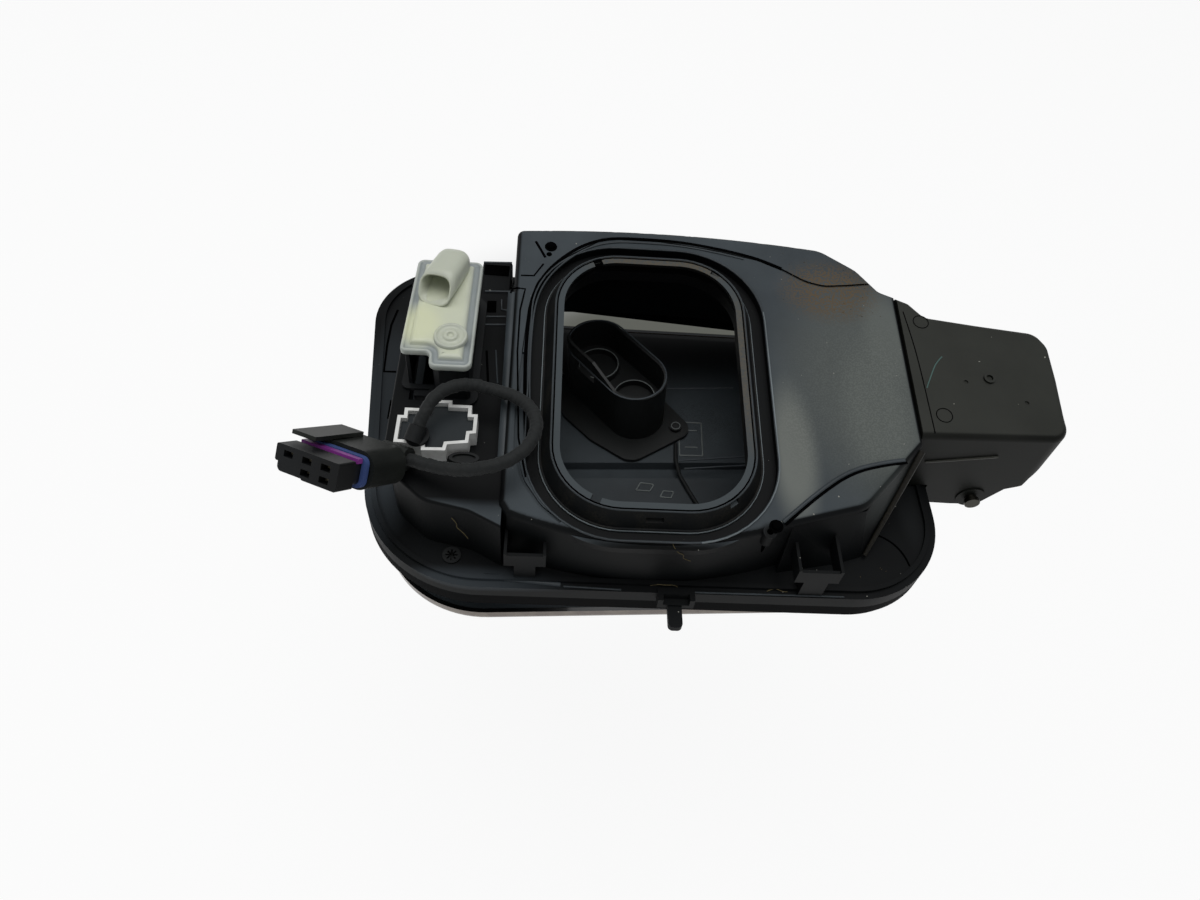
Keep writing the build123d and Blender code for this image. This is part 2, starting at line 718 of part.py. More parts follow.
def make_pin_boot():
    boot = rod((pot_left - 2, lock_pin_y, lock_pin_z), (1, 0, 0), lock_pin_radius + 1.4, wall + 1.5)
    boot += rod((pot_left - 4.1, lock_pin_y, lock_pin_z), (1, 0, 0), 6.5, 2.5)
    return boot - rod((pot_left - 20, lock_pin_y, lock_pin_z), (1, 0, 0), lock_pin_radius + slide_gap, 40)


# Lamp box

lamp_steps = [
    (-15.9, -9.4), (-15.9, 4.1), (-13.4, 4.1), (-13.5, 8.0), (-4.4, 8.0), (-4.4, 12.4), (5.1, 12.8),
    (5.1, 10.6),
    (13.3, 10.6), (13.3, 6.1), (15.9, 6.1), (15.9, -3.4), (13.4, -3.8), (13.2, -8.3), (5.0, -9.5),
    (4.6, -12.5),
    (-4.8, -12.8), (-5.0, -10.2), (-13.0, -9.4),
]


def lamp_face(inset):
    face = make_face(Polyline(*lamp_steps, close=True))
    if inset > 0:
        face = offset(face, -inset, kind=Kind.INTERSECTION)
    return Pos(lamp_x, lamp_y) * face


def make_lamp_housing():
    low = deck_level
    top = low + lamp_height
    tray = slab(lamp_face(0), low, top) - slab(lamp_face(lamp_wall), low + 1.4, top + 1)
    return tray


def make_lamp_lid():
    low = deck_level + lamp_height - 2.2
    lid = slab(lamp_face(lamp_wall + 0.15), low - 4, low)
    return lid - slab(lamp_face(lamp_wall + 1.6), low - 5, low - 1.4)


def make_cable_gland():
    """A foot on the lid, a collar over the box wall and a boot that leans with the lead."""
    lid = deck_level + lamp_height - 2.2
    rim = deck_level + lamp_height + 0.05
    start = Vector(lead_route[0])
    lean = (Vector(lead_route[1]) - start).normalized()
    gland = Pos(start.X + 0.7, start.Y, lid) * Cylinder(3.0, rim - lid + 0.5, align=upright)
    gland += Pos(start.X - 0.4, start.Y - 2.3, rim) * Cylinder(4.8, 1.3, align=upright)
    boot = Plane(origin=start, z_dir=-lean) * Cylinder(3.6, 6.5, align=upright)
    boot &= Pos(start.X, start.Y, rim) * Box(30, 30, 20, align=upright)
    return gland + boot


def make_oval_plug():
    plug = Pos(-75, -39, deck_level) * extrude(Ellipse(6.0, 2.8), 4.2)
    return plug - Pos(-75, -39, deck_level + 3.2) * extrude(Ellipse(4.6, 1.8), 2)


def make_star_plug():
    disc = Pos(plug_x, plug_y, flange_level) * Cylinder(plug_radius + 0.8, 0.9, align=upright)
    disc += Pos(plug_x, plug_y, flange_level - flange_thickness - 0.5) * Cylinder(
        plug_radius - 0.05, flange_thickness + 1, align=upright
    )
    for turn in (0, 45, 90, 135):
        disc -= Pos(plug_x, plug_y, flange_level) * Rot(0, 0, turn) * Box(5.0, 0.7, 3, align=centred)
    return disc


# Lead and plug

def lead_radii():
    """The radius of each bend of the lead, from its straight runs."""
    found = []
    for before, point, after in zip(lead_route, lead_route[1:], lead_route[2:]):
        a = Vector(point) - Vector(before)
        b = Vector(after) - Vector(point)
        turn = radians(a.get_angle(b))
        found.append(0.45 * min(a.length, b.length) / tan(turn / 2))
    return found


def make_pigtail():
    """Straight runs with one arc at each point of the route."""
    route = []
    here = Vector(lead_route[0])
    bends = lead_radii()
    for index, radius in enumerate(bends):
        point = Vector(lead_route[index + 1])
        a = (point - Vector(lead_route[index]))
        b = (Vector(lead_route[index + 2]) - point)
        reach = 0.45 * min(a.length, b.length)
        start = point - a.normalized() * reach
        end = point + b.normalized() * reach
        route.append(Edge.make_line(here, start))
        route.append(Edge.make_tangent_arc(start, a.normalized(), end))
        here = end
    route.append(Edge.make_line(here, Vector(lead_route[-1])))
    path = Wire(route)
    profile = Plane(origin=path @ 0, z_dir=path % 0) * Circle(lead_diameter / 2)
    return sweep(profile, path)


plug_rear = Vector(plug_front) - Vector(plug_mating).normalized() * plug_length
plug_plane = Plane(origin=plug_rear, x_dir=plug_across, z_dir=plug_mating)


def make_connector_collar():
    ring = RectangleRounded(collar_width, collar_height, 6.5)
    collar = extrude(ring, collar_length)
    collar -= Pos(0, 0, 6) * extrude(
        RectangleRounded(collar_width - 3.6, collar_height - 3.6, 5), collar_length
    )
    latch = Pos(-9, collar_height / 2 + 1.2, 3) * Box(11, 1.6, 27, align=upright)
    latch += Pos(-9, collar_height / 2, 3) * Box(11, 3, 6, align=upright)
    collar = collar + latch
    collar = plug_plane * collar
    end = Vector(lead_route[-1])
    back = end - Vector(lead_route[-2])
    cover = Plane(origin=end, z_dir=back) * Cylinder(4.6, 12, align=upright)
    return collar + cover


def make_connector_housing():
    nose = Pos(0, 0, 6.2) * extrude(RectangleRounded(nose_width - 3, nose_height - 1, 2), plug_length - 6.2)
    block_face = Polyline(
        (-nose_width / 2, nose_height / 2), (nose_width / 2, nose_height / 2), (
            nose_width / 2, -nose_height / 2
        ),
        (-1.5, -nose_height / 2), (-1.5, -nose_height / 2 + 4), (
            -nose_width / 2, -nose_height / 2 + 4
        ), close=True,
    )
    front = Pos(0, 0, plug_length - 9) * extrude(make_face(block_face), 9)
    front = fillet(front.edges().filter_by(Axis.Z), 0.8)
    body = nose + front
    for column in range(3):
        for row in range(2):
            x = -8.5 + 8.5 * column
            y = 2.2 - 4.6 * row
            if row == 1 and column == 0:
                continue
            body -= Pos(x, y, plug_length - 7) * Box(4.2, 2.4, 12, align=upright)
    body -= Pos(0, nose_height / 2, plug_length - 14) * Box(nose_width + 5, 3.2, 3.4, align=upright)
    return plug_plane * body


def make_connector_lock():
    bar = Pos(0, nose_height / 2 - 0.5, plug_length - 13.8) * Box(nose_width - 2, 1.8, 2.6, align=upright)
    return plug_plane * bar


def make_connector_seal():
    outer = RectangleRounded(nose_width + 0.6, nose_height + 1.6, 3)
    inner = RectangleRounded(nose_width - 3, nose_height - 1, 2)
    return plug_plane * Pos(0, 0, plug_length - 16.6) * extrude(outer - inner, 2.4)


def make_contacts():
    pieces = []
    for column in range(3):
        for row in range(2):
            if row == 1 and column == 0:
                continue
            pieces.append(
                Pos(-8.5 + 8.5 * column, 2.2 - 4.6 * row, plug_length - 7) * Box(3.0, 1.4, 4, align=upright)
            )
    total = pieces[0]
    for piece in pieces[1:]:
        total += piece
    return plug_plane * total


parts = {
    "pot_housing": make_pot_housing,
    "flange_seal": make_flange_seal,
    "aperture_gasket": make_aperture_gasket,
    "hinge_box": make_hinge_box,
    "hinge_strip": make_hinge_strip,
    "actuator_body": make_actuator_body,
    "actuator_cover": make_actuator_cover,
    "lock_pin": make_lock_pin,
    "pin_boot": make_pin_boot,
    "lamp_housing": make_lamp_housing,
    "lamp_lid": make_lamp_lid,
    "cable_gland": make_cable_gland,
    "oval_plug": make_oval_plug,
    "star_plug": make_star_plug,
    "pigtail": make_pigtail,
    "connector_collar": make_connector_collar,
    "connector_housing": make_connector_housing,
    "connector_lock": make_connector_lock,
    "connector_seal": make_connector_seal,
    "contacts": make_contacts,
    "flap_skin": lambda: ajar(make_flap_skin()),
    "flap_liner": lambda: ajar(make_flap_liner()),
    "hinge_arm": lambda: ajar(make_hinge_arm()),
    "arm_screws": lambda: ajar(make_arm_screws()),
    "cap_holder": lambda: ajar(make_cap_holder()),
    "holder_rivets": lambda: ajar(make_holder_rivets()),
    "cap_tether": lambda: ajar(make_tether()),
    "striker": lambda: ajar(make_striker()),
    "flap_bumpers": lambda: ajar(make_flap_bumpers()),
}


def make_hinge_pin():
    start = box_near - 1.5
    pin = rod((hinge_x, start, hinge_z), (0, 1, 0), pin_radius, 56)
    return pin + rod((hinge_x, start - pin_head_length, hinge_z), (0, 1, 0), pin_head_radius, pin_head_length)


parts["hinge_pin"] = make_hinge_pin

for name, make in parts.items():
    shape = make()
    save(name, shape)
    print(name, round(shape.volume), shape.is_valid, len(shape.solids()), shape.bounding_box())

print("bends of the lead", [round(r, 1) for r in lead_radii()])
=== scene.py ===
from math import atan2, cos, pi, radians, sin, tan

import bmesh
import bpy
from mathutils import Matrix, Vector


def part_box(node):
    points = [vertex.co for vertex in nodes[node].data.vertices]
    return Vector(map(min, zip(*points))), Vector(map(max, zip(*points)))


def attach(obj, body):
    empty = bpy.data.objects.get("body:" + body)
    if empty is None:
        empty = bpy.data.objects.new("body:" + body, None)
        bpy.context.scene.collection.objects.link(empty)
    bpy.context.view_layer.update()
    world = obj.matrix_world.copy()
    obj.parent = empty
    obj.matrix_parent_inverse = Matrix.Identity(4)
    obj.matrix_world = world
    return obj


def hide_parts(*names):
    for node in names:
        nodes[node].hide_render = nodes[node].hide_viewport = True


bl_info = {
    "name": "Fuel filler flap module",
    "version": (1, 0, 0),
    "blender": (4, 5, 0),
    "location": "View3D > Sidebar > Flap module",
    "description": "Finishes and small pieces of a car's flap module, seen from behind",
    "category": "Object",
}

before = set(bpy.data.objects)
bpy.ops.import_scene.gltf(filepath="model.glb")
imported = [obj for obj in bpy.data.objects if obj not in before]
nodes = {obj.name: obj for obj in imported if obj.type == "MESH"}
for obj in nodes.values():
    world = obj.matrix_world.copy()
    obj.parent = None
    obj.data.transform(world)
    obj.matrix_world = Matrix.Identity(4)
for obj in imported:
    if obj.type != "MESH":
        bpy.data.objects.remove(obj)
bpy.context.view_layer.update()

# Places of the CAD model, in millimetres
REAR_TILT = radians(6.5)  # the lean of the pot's rear face against the flange, an angle
REAR_SLOPE = tan(REAR_TILT)
FLANGE_LEVEL = -40.0
DECK_LEVEL = -10.0
HINGE_TOP = 0.1  # the hinge box's rear face, over the pot's rear plane
LINER_LEVEL = -66.15  # the flap's liner under the middle of the aperture
LINER_SLOPE = 0.07  # the liner's rise towards the hinge
HOLDER_SINE, HOLDER_COSINE = 0.0698, 0.9976  # the lean of the cap holder's axis, 4 degrees
COVER_FAR = 53.6  # the far edge of the lock drive's cover
APERTURE = (75.0, 119.0, 24.5)  # the gasket's opening: width, length and corner radius

# The stage, in metres: the floor lies just under the flap's far edge when the flap hangs open
FLOOR_LEVEL = -0.330
CAMERA_PLACE = (-0.04323, -0.2472, 0.28588)
CAMERA_RIGHT = (0.9972, -0.0018, 0.0746)
CAMERA_AHEAD = (0.0611, 0.5917, -0.8039)
CAMERA_LENS = 27.0  # millimetres, on a sensor 36 wide

# The shade on the floor, in millimetres: its middle, and how far its dark core and its soft edge reach
SHADE_CENTRE = (55, 342, FLOOR_LEVEL * 1000)
SHADE_CORE = (212, 83, 400)
SHADE_EDGE = (279, 159, 400)
FLOOR_GLOW = 0.9  # the share of the open floor that looks plain white to the camera

# Finishes that more than one operator uses
POT_FINISH = "grained black polypropylene"
# painted highlights on the fine ridges, rims and edges
HIGHLIGHT_FINISH = "black polypropylene, painted highlight"
# painted shade in grooves, seams and slots
SHADE_FINISH = "black polypropylene, painted shade"

# The lead's route in metres, from the cable gland round the loop to the plug
LEAD_ROUTE = [
    (-0.0932, -0.0305, 0.002), (-0.0899, -0.0225, 0.0071), (-0.0832, -0.0152, 0.0084),
    (-0.0746, -0.0107, 0.0059), (-0.0645, -0.0113, 0.0032), (-0.0550, -0.0148, 0.0040),
    (-0.0475, -0.0240, 0.0060), (-0.0465, -0.0359, 0.0073), (-0.0528, -0.0468, 0.0074),
    (-0.0643, -0.0520, 0.0060), (-0.0807, -0.0500, 0.0), (-0.0960, -0.0430, -0.0030),
]


def tone(code):
    """A colour written as an sRGB hex value, turned to linear."""
    parts = [int(code[i:i + 2], 16) / 255 for i in (1, 3, 5)]
    linear = [c / 12.92 if c <= 0.04045 else ((c + 0.055) / 1.055) ** 2.4 for c in parts]
    return (*linear, 1.0)


def feed(tree, node, inputs):
    """Fills a node's inputs; each is a value or another node's output."""
    for key, value in inputs.items():
        if isinstance(value, bpy.types.NodeSocket):
            tree.links.new(value, node.inputs[key])
        else:
            node.inputs[key].default_value = value


def put(tree, kind, inputs=None, **settings):
    """Adds a node with its settings and inputs."""
    node = tree.nodes.new(kind)
    for name, value in settings.items():
        setattr(node, name, value)
    feed(tree, node, inputs or {})
    return node


def fresh(name):
    """An empty material with its surface shader, and the place in the part's own metres."""
    material = bpy.data.materials.new(name)
    material.use_nodes = True
    tree = material.node_tree
    shader = tree.nodes["Principled BSDF"]
    place = put(tree, "ShaderNodeTexCoord").outputs["Object"]
    return material, tree, shader, place


def speckle(tree, place, size_mm, amount, softness=0.05, detail=2.0):
    """A mask of grains of one real size: 1 on a grain, 0 between."""
    grains = put(tree, "ShaderNodeTexNoise", {"Vector": place, "Scale": 1000 / size_mm, "Detail": detail})
    return put(tree, "ShaderNodeMapRange", {
        "Value": grains.outputs["Fac"], "From Min": 1 - amount - softness, "From Max": 1 - amount + softness,
    }).outputs["Result"]


def patch(tree, place, centre_mm, reach_mm, strength=1.0):
    """A soft mask round one place of the part."""
    centre = Vector(centre_mm) / 1000
    scale = [1000 / r for r in reach_mm]
    moved = put(tree, "ShaderNodeVectorMath", {0: place, 1: centre}, operation="SUBTRACT").outputs[0]
    sized = put(tree, "ShaderNodeVectorMath", {0: moved, 1: scale}, operation="MULTIPLY").outputs[0]
    far = put(tree, "ShaderNodeVectorMath", {0: sized}, operation="LENGTH").outputs["Value"]
    return put(tree, "ShaderNodeMapRange", {
        "Value": far, "From Min": 1.0, "From Max": 0.35, "To Max": strength,
    }, interpolation_type="SMOOTHSTEP").outputs["Result"]


def laid_over(tree, under, over, *masks):
    """Lays one colour over another where all of the masks hold; a plain number weakens them."""
    share = masks[0]
    for mask in masks[1:]:
        share = put(tree, "ShaderNodeMath", {0: share, 1: mask}, operation="MULTIPLY").outputs[0]
    return put(tree, "ShaderNodeMix", {0: share, 6: under, 7: over}, data_type="RGBA").outputs[2]


def roughen(tree, shader, height, depth_mm, strength=1.0):
    """A fine relief on the surface, as deep as the given depth."""
    bump = put(tree, "ShaderNodeBump", {"Height": height, "Distance": depth_mm / 1000, "Strength": strength})
    tree.links.new(bump.outputs["Normal"], shader.inputs["Normal"])


def facing_up(tree, start=0.85, full=0.97):
    """A mask of the faces that look up, where dust settles and where a painted sheen is laid."""
    normal = put(tree, "ShaderNodeTexCoord").outputs["Normal"]
    rise = put(tree, "ShaderNodeSeparateXYZ", {0: normal}).outputs["Z"]
    return put(tree, "ShaderNodeMapRange", {
        "Value": rise, "From Min": start, "From Max": full,
    }).outputs["Result"]


def above_rear(tree, place, level_mm):
    """A mask of what lies above a plane level with the tilted rear face."""
    height = put(tree, "ShaderNodeVectorMath", {0: place, 1: (0, -REAR_SLOPE, 1)}, operation="DOT_PRODUCT")
    return put(tree, "ShaderNodeMapRange", {
        "Value": height.outputs["Value"], "From Min": (level_mm - 0.4) / 1000, "From Max": level_mm / 1000,
    }).outputs["Result"]


def grained_moulding(name, light, dark, roughness, gloss=0.2, marks=(), specks=0.0, dust_and_sheen=None):
    """Polypropylene moulded in an etched tool: dull grain, uneven sheen and dust that clings to it.

    A mark is a centre, a reach, a strength, a colour, the size of its grains and the plane that it lies
    above; some marks are dirt, and others paint sheen and shade. The dust and sheen argument is the colour
    that faces looking up take above a plane, dust and a painted sheen together, and that plane. All sizes
    are in millimetres, and the planes are level with the rear face.
    """
    material, tree, shader, place = fresh(name)
    cloud = put(tree, "ShaderNodeTexNoise", {"Vector": place, "Scale": 28.0, "Detail": 4.0}).outputs["Fac"]
    clear = put(tree, "ShaderNodeMapRange", {
        "Value": cloud, "From Min": 0.35, "From Max": 0.65,
    }).outputs["Result"]
    colour = laid_over(tree, tone(dark), tone(light), clear)
    # dust and a painted sheen: the faces that look up, above the plane, are lightened
    if dust_and_sheen:
        shade, level = dust_and_sheen
        haze = put(tree, "ShaderNodeMapRange", {"Value": clear, "To Min": 0.72}).outputs["Result"]
        colour = laid_over(tree, colour, tone(shade), facing_up(tree), above_rear(tree, place, level), haze)
    for centre, reach, strength, shade, grains, level in marks:
        masks = [patch(tree, place, centre, reach, strength)]
        if grains:
            masks.append(speckle(tree, place, grains, 0.52))
        if level is not None:
            masks += [facing_up(tree), above_rear(tree, place, level)]
        colour = laid_over(tree, colour, tone(shade), *masks)
    if specks:
        grit = speckle(tree, place, 1.6, specks, 0.01, 1.0)
        colour = laid_over(tree, colour, tone("#8d8c84"), grit, facing_up(tree, 0.5, 0.9))
    rough = put(tree, "ShaderNodeMapRange", {
        "Value": cloud, "To Min": roughness - 0.08, "To Max": roughness + 0.08,
    }).outputs["Result"]
    feed(tree, shader, {"Base Color": colour, "Roughness": rough, "Specular IOR Level": gloss})
    grain_mm = 0.5
    grain = put(tree, "ShaderNodeTexNoise", {"Vector": place, "Scale": 1000 / grain_mm}).outputs["Fac"]
    roughen(tree, shader, grain, 0.05, 0.5)
    return material


def dusty_rubber(name, light, dark, dust, amount=0.45, gloss=0.25, top=None, stains=(), painted_shade=None):
    """EPDM rubber, compression moulded: matt, with pale dust held in patches.

    Top is the colour of the upper side, dust and a painted sheen together; the stains are centres, reaches
    and colours on it, and the last argument is the centre and reach of a place painted near black for shade.
    """
    material, tree, shader, place = fresh(name)
    cloud = put(tree, "ShaderNodeTexNoise", {"Vector": place, "Scale": 60.0, "Detail": 5.0}).outputs["Fac"]
    colour = laid_over(tree, tone(dark), tone(light), cloud)
    patches, grains = speckle(tree, place, 9.0, amount, 0.2), speckle(tree, place, 0.8, 0.5, 0.15)
    colour = laid_over(tree, colour, tone(dust), patches, grains)
    # painted shade: a place goes near black
    if painted_shade:
        colour = laid_over(tree, colour, tone("#040405"), patch(tree, place, *painted_shade))
    if top:
        # the upper side takes dust and a painted sheen
        highlit = [facing_up(tree, 0.55, 0.9), above_rear(tree, place, 2.0)]
        colour = laid_over(tree, colour, tone(top), *highlit)
        for centre, reach, shade in stains:
            grains = speckle(tree, place, 1.1, 0.55, 0.2)
            colour = laid_over(tree, colour, tone(shade), *highlit, patch(tree, place, centre, reach), grains)
    feed(tree, shader, {"Base Color": colour, "Roughness": 0.62, "Specular IOR Level": gloss})
    relief = put(tree, "ShaderNodeTexNoise", {"Vector": place, "Scale": 1500.0}).outputs["Fac"]
    roughen(tree, shader, relief, 0.06, 0.4)
    return material


def natural_polypropylene():
    """Unpigmented polypropylene, injection moulded: milky, waxy, and greyer where the wall is thin."""
    material, tree, shader, place = fresh("natural polypropylene")
    marks = put(tree, "ShaderNodeTexCoord").outputs["UV"]
    from_edge = put(tree, "ShaderNodeSeparateXYZ", {0: marks}).outputs["X"]
    cloud = put(tree, "ShaderNodeTexNoise", {"Vector": place, "Scale": 120.0, "Detail": 4.0}).outputs["Fac"]
    milk = put(tree, "ShaderNodeValToRGB", {"Fac": from_edge})
    stops = milk.color_ramp.elements
    stops.remove(stops[1])
    stops[0].color = tone("#b4b9b2")
    for position, code in (
        (0.09, "#a9aeaa"), (0.14, "#82898d"), (0.42, "#8d9496"), (0.52, "#b9bdaf"), (1.0, "#cbcfb9"),
    ):
        stops.new(position).color = tone(code)
    colour = laid_over(tree, milk.outputs["Color"], tone("#aeb2a4"), cloud, 0.3)
    warm = patch(tree, place, (-97, 14, 13), (12, 16, 12), 0.8)
    feed(tree, shader, {
        "Base Color": laid_over(tree, colour, tone("#d3d6b4"), warm), "Roughness": 0.34, "IOR": 1.49,
        "Subsurface Weight": 0.3, "Subsurface Radius": (0.003, 0.003, 0.0025),
    })
    roughen(tree, shader, cloud, 0.25, 0.35)
    return material


def smooth_moulding(name, code, roughness, dirt="#8f8d86", gloss=0.4):
    """Styrene or polyester, injection moulded: smooth and even, with a little grime in patches."""
    material, tree, shader, place = fresh(name)
    colour = laid_over(tree, tone(code), tone(dirt), speckle(tree, place, 6.0, 0.42, 0.15), 0.35)
    feed(tree, shader, {"Base Color": colour, "Roughness": roughness, "Specular IOR Level": gloss})
    relief = put(tree, "ShaderNodeTexNoise", {"Vector": place, "Scale": 900.0}).outputs["Fac"]
    roughen(tree, shader, relief, 0.03, 0.25)
    return material


def zinc_steel():
    """Turned steel, zinc plated: grey metal, uneven in its shine."""
    material, tree, shader, place = fresh("zinc plated steel")
    cloud = put(tree, "ShaderNodeTexNoise", {"Vector": place, "Scale": 220.0, "Detail": 3.0}).outputs["Fac"]
    shine = put(tree, "ShaderNodeMapRange", {"Value": cloud, "To Min": 0.3, "To Max": 0.5}).outputs["Result"]
    colour = laid_over(tree, tone("#262520"), tone("#45433d"), cloud)
    feed(tree, shader, {"Base Color": colour, "Metallic": 1.0, "Roughness": shine})
    return material


def coach_paint():
    """Metallic coach paint on moulded plastic: flakes under a clear coat, dust, and near black on its upward
    faces.
    """
    material, tree, shader, place = fresh("metallic coach paint")
    flake = put(tree, "ShaderNodeTexVoronoi", {"Vector": place, "Scale": 2500.0}).outputs["Distance"]
    colour = laid_over(tree, tone("#6a5a4e"), tone("#4d4038"), flake)
    colour = laid_over(tree, colour, tone("#8b8170"), speckle(tree, place, 5.0, 0.45, 0.2), 0.5)
    feed(tree, shader, {
        "Base Color": laid_over(tree, colour, tone("#0c0d0e"), facing_up(tree, 0.35, 0.7)),
        "Metallic": 0.45, "Roughness": 0.35, "Coat Weight": 0.35, "Coat Roughness": 0.08,
    })
    return material


def textile_tape():
    """Woven polyester harness tape, wound in laps along the lead: dull, with a fine cross weave."""
    material, tree, shader, place = fresh("woven harness tape")
    weave, wear = (
        put(tree, "ShaderNodeTexNoise", {"Vector": place, "Scale": waves, "Detail": 3.0}).outputs["Fac"]
        for waves in (1100.0, 110.0)
    )
    colour = laid_over(tree, tone("#0b0c0d"), tone("#1e2122"), weave)
    feed(tree, shader, {
        "Base Color": laid_over(tree, colour, tone("#2c2d2b"), wear, 0.35), "Roughness": 0.7,
        "Specular IOR Level": 0.25, "Sheen Weight": 0.06,
    })
    roughen(tree, shader, weave, 0.12, 0.6)
    return material


def plated_contact():
    """Tin plated bronze, stamped: pale and soft in its shine."""
    material, tree, shader, place = fresh("tin plated bronze")
    cloud = put(tree, "ShaderNodeTexNoise", {"Vector": place, "Scale": 300.0}).outputs["Fac"]
    colour = laid_over(tree, tone("#8c8672"), tone("#b5ad94"), cloud)
    feed(tree, shader, {"Base Color": colour, "Metallic": 1.0, "Roughness": 0.35})
    return material


def wound_tube(name, route, radius, lap):
    """A tube along a route with tape wound on it: each lap rises a little over the one before."""
    around, ring_pitch = 20, 0.00045
    tape, sunk = 0.00030, 0.00032
    lengths = [0.0]
    for a, b in zip(route, route[1:]):
        lengths.append(lengths[-1] + (b - a).length)
    steps = int(lengths[-1] / ring_pitch)
    mesh = bpy.data.meshes.new(name)
    corners, faces, marks = [], [], []
    across = Vector((0, 0, 1))
    index = 0
    for step in range(steps + 1):
        along = lengths[-1] * step / steps
        while index < len(route) - 2 and lengths[index + 1] < along:
            index += 1
        ahead = (route[index + 1] - route[index]).normalized()
        share = (along - lengths[index]) / max(lengths[index + 1] - lengths[index], 1e-9)
        centre = route[index].lerp(route[index + 1], share)
        across = (across - ahead * across.dot(ahead)).normalized()
        side = ahead.cross(across)
        for turn in range(around):
            angle = 2 * pi * turn / around
            phase = (along / lap - turn / around + 0.12 * sin(along * 410)) % 1.0
            rise = tape * phase if phase < 0.9 else 10 * tape * (1 - phase)
            crease = 0.00012 * sin(along * 1900 + 2 * angle) * sin(along * 730)
            reach = radius - sunk + rise + crease
            corners.append(centre + across * (reach * cos(angle)) + side * (reach * sin(angle)))
            marks.append((turn / around, along))
    for step in range(steps):
        for turn in range(around):
            a, b = step * around + turn, step * around + (turn + 1) % around
            faces.append((a, b, b + around, a + around))
    faces.append(tuple(range(around))[::-1])
    faces.append(tuple(range(steps * around, (steps + 1) * around)))
    mesh.from_pydata(corners, [], faces)
    layer = mesh.uv_layers.new(name="wrap")
    for polygon in mesh.polygons:
        polygon.use_smooth = len(polygon.vertices) == 4
        seam = any(marks[v][0] > 0.9 for v in polygon.vertices)
        for loop, vertex in zip(polygon.loop_indices, polygon.vertices):
            u, v = marks[vertex]
            if seam and u == 0:
                u = 1.0
            layer.data[loop].uv = (u, v)
    return bpy.data.objects.new(name, mesh)


def rounded_outline(corners, radii, inset):
    """A polygon moved in by an inset, with eight points to a round corner; its convex corners turn left."""
    count = len(corners)
    moved = []
    for index in range(count):
        before, here, after = (Vector(corners[i % count]) for i in (index - 1, index, index + 1))
        a, b = (here - before).normalized(), (after - here).normalized()
        bisector = (Vector((-a.y, a.x)) + Vector((-b.y, b.x))).normalized()
        moved.append(here + bisector * (inset / bisector.dot(Vector((-a.y, a.x)))))
    points = []
    for index in range(count):
        before, here, after = moved[index - 1], moved[index], moved[(index + 1) % count]
        a, b = (before - here).normalized(), (after - here).normalized()
        convex = (here - before).x * (after - here).y - (here - before).y * (after - here).x > 0
        radius = max(radii[index] - inset, 0.5) if convex else radii[index] + inset
        half = a.angle(b) / 2
        reach = radius / tan(half)
        middle = here + (a + b).normalized() * (radius / sin(half))
        start, end = here + a * reach - middle, here + b * reach - middle
        for step in range(8):
            share = step / 7
            spoke = start.lerp(end, share).normalized() * radius
            points.append(middle + spoke)
    return points


class Shell:
    """Rings of points joined to one mesh, with each ring's distance from the edge kept as UV."""

    def __init__(self):
        self.corners, self.faces, self.marks = [], [], []

    def rings(self, rings, marks, close_first=False, close_last=True):
        """Adds rings of as many points each, in millimetres, and the faces between them."""
        first = len(self.corners)
        size = len(rings[0])
        for ring, mark in zip(rings, marks):
            self.corners += [Vector(point) / 1000 for point in ring]
            self.marks += [mark] * size
        for level in range(len(rings) - 1):
            low, high = first + level * size, first + (level + 1) * size
            for step in range(size):
                after = (step + 1) % size
                self.faces.append((low + step, low + after, high + after, high + step))
        if close_first:
            self.faces.append(tuple(reversed(range(first, first + size))))
        if close_last:
            self.faces.append(tuple(range(first + (len(rings) - 1) * size, first + len(rings) * size)))

    def piece(self, name):
        """Makes the object, with doubles merged and every face turned outwards."""
        mesh = bpy.data.meshes.new(name)
        mesh.from_pydata(self.corners, [], self.faces)
        layer = mesh.uv_layers.new(name="from_edge")
        for polygon in mesh.polygons:
            polygon.use_smooth = len(polygon.vertices) == 4
            for loop, vertex in zip(polygon.loop_indices, polygon.vertices):
                layer.data[loop].uv = (self.marks[vertex], 0.5)
        shell = bmesh.new()
        shell.from_mesh(mesh)
        bmesh.ops.remove_doubles(shell, verts=shell.verts, dist=1e-6)
        bmesh.ops.recalc_face_normals(shell, faces=shell.faces)
        shell.to_mesh(mesh)
        shell.free()
        shape = bpy.data.objects.new(name, mesh)
        bpy.context.scene.collection.objects.link(shape)
        return shape


def dress(name, material):
    """Gives a CAD node its finish."""
    node = nodes[name]
    for index in range(len(node.material_slots)):
        node.material_slots[index].material = material
    if not node.material_slots:
        node.data.materials.append(material)


def finish_piece(piece, material, body):
    """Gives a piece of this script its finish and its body."""
    piece.data.materials.clear()
    piece.data.materials.append(material)
    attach(piece, body)


def rear(x, y, lift=0.0):
    """A point on the tilted rear face, in millimetres, with a lift above it."""
    return (x, y, y * REAR_SLOPE + lift)


def on_rear(points, lift=0.0):
    """Points over the pot's tilted rear face."""
    return [rear(x, y, lift) for x, y in points]


def on_flange(points, lift=0.1):
    """Points over the flange."""
    return [(x, y, FLANGE_LEVEL + lift) for x, y in points]


def on_deck(points, lift=0.1):
    """Points over the deck beside the lock drive."""
    return [(x, y, DECK_LEVEL + lift) for x, y in points]


def on_liner(points, lift=0.1):
    """Points over the flap's liner."""
    return [(x, y, LINER_LEVEL + LINER_SLOPE * x + lift) for x, y in points]


def across_holder(x, y, level):
    """A point of a plane square to the cap holder's axis; the level is its distance from the origin."""
    return (x, y, (level + HOLDER_SINE * x) / HOLDER_COSINE)


